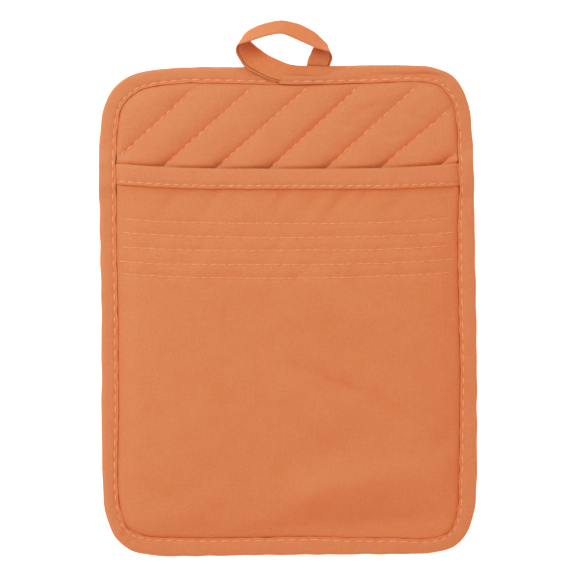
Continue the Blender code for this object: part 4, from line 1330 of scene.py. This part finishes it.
def make_dye_group():
    """Uneven dye: soft patches between a base, a deep and a pale colour, streaks and grain."""
    group, given, result = new_group(
        "uneven dye",
        [("Place", "NodeSocketVector", None), ("Base", "NodeSocketColor", (*ORANGE, 1.0)),
         ("Deep", "NodeSocketColor", (*DEEP_ORANGE, 1.0)),
         ("Pale", "NodeSocketColor", (*PALE_ORANGE, 1.0)), ("Patches", "NodeSocketFloat", 0.5),
         ("Streaks", "NodeSocketFloat", 0.3), ("Grain", "NodeSocketFloat", 0.28)],
        "Color", "NodeSocketColor")
    patches = noise(group, given["Place"], scale=0.075, detail=4.0, roughness=0.62)
    patches = share_between(group, patches, low=0.45, high=0.72)
    patches = calculate(group, "MULTIPLY", patches, given["Patches"])
    color = blend_colors(group, patches, given["Base"], given["Deep"])
    streaks = use_group(group, "yarn streaks", {"Place": given["Place"], "Scale": 1.0})
    streaks = share_between(group, streaks, low=0.42, high=0.66)
    streaks = calculate(group, "MULTIPLY", streaks, given["Streaks"])
    color = blend_colors(group, streaks, color, given["Pale"])
    grain = noise(group, given["Place"], scale=0.75, detail=3.0, roughness=0.65)
    grain = calculate(group, "SUBTRACT", grain, 0.5)
    grain = calculate(group, "MULTIPLY_ADD", grain, given["Grain"], 1.0)
    group.links.new(vectors(group, "SCALE", color, grain), result)


def make_painted_crevice_shade_group():
    """Painted crevice shade: the colour is tinted where other cloth closes in on it, as found by
    ambient occlusion.
    """
    group, given, result = new_group(
        "painted crevice shade",
        [("Color", "NodeSocketColor", (*ORANGE, 1.0)),
         ("Reach", "NodeSocketFloat", CREVICE_SHADE_REACH * MM),
         ("Tint", "NodeSocketColor", (*CREVICE_SHADE_TINT, 1.0))],
        "Color", "NodeSocketColor")
    reach = {"Distance": given["Reach"]}
    openness = add_node(group, "ShaderNodeAmbientOcclusion", reach, samples=8).outputs["AO"]
    share = calculate(group, "SUBTRACT", 1.0, openness)
    tinted = vectors(group, "MULTIPLY", given["Color"], given["Tint"])
    group.links.new(blend_colors(group, share, given["Color"], tinted), result)


# ---- materials ----
def new_material(name):
    """A material with nodes; also its tree and its shader."""
    material = bpy.data.materials.new(name)
    material.use_nodes = True
    return material, material.node_tree, material.node_tree.nodes["Principled BSDF"]


def set_values(shader, values):
    """Plain values, straight on the shader's own sockets."""
    for name, value in values.items():
        shader.inputs[name].default_value = value


def tinted_color(color, tint):
    """A colour times a tint, with alpha."""
    return (*[min(1.0, a * b) for a, b in zip(color, tint)], 1.0)


def cloth_material(name, base, patches, streaks, painted_shade_tint=CREVICE_SHADE_TINT, painted_shade_reach=CREVICE_SHADE_REACH):
    """Dyed cotton cloth: uneven dye, painted crevice shade, plain weave and streaky yarns, seen
    close and from afar.
    """
    material, tree, shader = new_material(name)
    place = add_node(tree, "ShaderNodeAttribute", attribute_name="cloth_place").outputs["Vector"]
    color = use_group(tree, "uneven dye", {
        "Place": place, "Base": (*base, 1.0), "Deep": tinted_color(base, DEEP_TINT),
        "Pale": tinted_color(base, PALE_TINT), "Patches": patches, "Streaks": streaks})
    # painted shade: the colour turns deeper and redder where other cloth closes in
    color = use_group(tree, "painted crevice shade", {
        "Color": color, "Reach": painted_shade_reach * MM, "Tint": (*painted_shade_tint, 1.0)})
    weave = use_group(tree, "plain weave", {"Place": place, "Yarn Pitch": YARN_PITCH})
    streak = use_group(tree, "yarn streaks", {"Place": place, "Scale": 1.4})
    fluff = noise(tree, place, scale=2.2, detail=3.0)
    height = calculate(tree, "MULTIPLY_ADD", streak, STREAK_HEIGHT, weave)
    height = calculate(tree, "MULTIPLY_ADD", fluff, FLUFF_HEIGHT, height)
    relief = {"Strength": 1.0, "Distance": WEAVE_DEPTH * MM, "Height": height}
    relief = add_node(tree, "ShaderNodeBump", relief).outputs["Normal"]
    tree.links.new(color, shader.inputs["Base Color"])
    tree.links.new(relief, shader.inputs["Normal"])
    set_values(shader, {"Roughness": 0.88, "Specular IOR Level": 0.25, "Sheen Weight": 0.12,
                        "Sheen Roughness": 0.45, "Sheen Tint": (*SHEEN_TINT, 1.0)})
    return material


def thread_material(name, color):
    """Sewing thread: smooth and a little paler than the cloth."""
    material, tree, shader = new_material(name)
    place = add_node(tree, "ShaderNodeAttribute", attribute_name="cloth_place").outputs["Vector"]
    shade = blend_colors(tree, noise(tree, place, scale=0.4, detail=2.0),
                         tinted_color(color, (0.9, 0.9, 0.9)), tinted_color(color, (1.1, 1.1, 1.1)))
    tree.links.new(shade, shader.inputs["Base Color"])
    set_values(shader, {"Roughness": 0.6, "Sheen Weight": 0.1})
    return material


def floor_material():
    """White paper that glows a little, so that it shows hardly a shadow, and clear from below."""
    material, tree, shader = new_material("white_floor")
    set_values(shader, {"Base Color": (*FLOOR_WHITE, 1.0), "Roughness": 1.0,
                        "Specular IOR Level": 0.0, "Emission Color": (*WHITE, 1.0),
                        "Emission Strength": FLOOR_GLOW})
    side = add_node(tree, "ShaderNodeNewGeometry").outputs["Backfacing"]
    clear = add_node(tree, "ShaderNodeBsdfTransparent").outputs["BSDF"]
    sides = {"Fac": side, 1: shader.outputs["BSDF"], 2: clear}
    shown = add_node(tree, "ShaderNodeMixShader", sides).outputs["Shader"]
    tree.links.new(shown, tree.nodes["Material Output"].inputs["Surface"])
    return material


# ---- studio ----
def into_scene(name, data):
    """A new object with that data, in the scene."""
    thing = bpy.data.objects.new(name, data)
    bpy.context.scene.collection.objects.link(thing)
    return thing


def lay_floor():
    """A wide white floor just under the pot holder."""
    mesh = bpy.data.meshes.new("studio_floor")
    corners = ((-1, -1), (1, -1), (1, 1), (-1, 1))
    mesh.from_pydata([(x * FLOOR_HALF, y * FLOOR_HALF, -FLOOR_DROP) for x, y in corners], [],
                     [(0, 1, 2, 3)])
    mesh.materials.append(floor_material())
    floor = into_scene("studio_floor", mesh)


def hang_sky():
    """Soft light from all round: warm from overhead, cooler from the sides."""
    world = bpy.data.worlds.new("studio")
    world.use_nodes = True
    sky = world.node_tree
    direction = add_node(sky, "ShaderNodeTexCoord").outputs["Generated"]
    height = add_node(sky, "ShaderNodeSeparateXYZ", {"Vector": direction}).outputs["Z"]
    overhead = calculate(sky, "POWER", calculate(sky, "MAXIMUM", height, 0.0), SKY_FALL)
    color = blend_colors(sky, overhead, (*SIDE_COLOR, 1.0), (*OVERHEAD_COLOR, 1.0))
    background = sky.nodes["Background"]
    sky.links.new(color, background.inputs["Color"])
    background.inputs["Strength"].default_value = SKY_STRENGTH
    bpy.context.scene.world = world


def set_studio():
    """White floor, soft light from the upper left, and a camera straight above."""
    lay_floor()
    hang_sky()
    lamp = bpy.data.lights.new("key_light", "AREA")
    lamp.size = KEY_SIZE
    lamp.energy = KEY_POWER
    lamp.color = KEY_COLOR
    key = into_scene("key_light", lamp)
    key.location = KEY_PLACE
    key.rotation_euler = (-Vector(KEY_PLACE)).to_track_quat("-Z", "Y").to_euler()
    lens = bpy.data.cameras.new("camera")
    lens.lens = CAMERA_LENS
    lens.sensor_width = SENSOR_WIDTH
    lens.clip_start = CLIP_START
    camera = into_scene("camera", lens)
    camera.location = (*LOOK_AT, CAMERA_HEIGHT)
    camera.rotation_euler = (0.0, 0.0, CAMERA_TURN)
    bpy.context.scene.camera = camera
    bpy.context.scene.view_settings.view_transform = "Standard"


# ---- the pot holder ----
def main():
    make_weave_group()
    make_streak_group()
    make_dye_group()
    make_painted_crevice_shade_group()
    pad = make_pad(cloth_material("quilted_cotton", ORANGE, patches=0.5, streaks=0.35))
    pocket = make_pocket(cloth_material("pocket_cotton", DEEP_ORANGE, patches=0.6, streaks=0.35))
    mouth = make_mouth_binding(cloth_material("mouth_cotton", ORANGE, patches=0.4, streaks=0.3))
    edge = make_edge_binding(cloth_material("edge_cotton", ORANGE, patches=0.4, streaks=0.3))
    cover = make_loop_cover(edge.data.materials[0])
    # the loop's cloth gets darker painted shade, over a wider reach, inside its turns
    loop = make_hanging_loop(cloth_material("loop_cotton", LOOP_ORANGE, patches=0.4, streaks=0.3,
                                            painted_shade_tint=LOOP_SHADE_TINT, painted_shade_reach=LOOP_SHADE_REACH))
    sew_all(pad, pocket, mouth, edge, cover)


main()
set_studio()
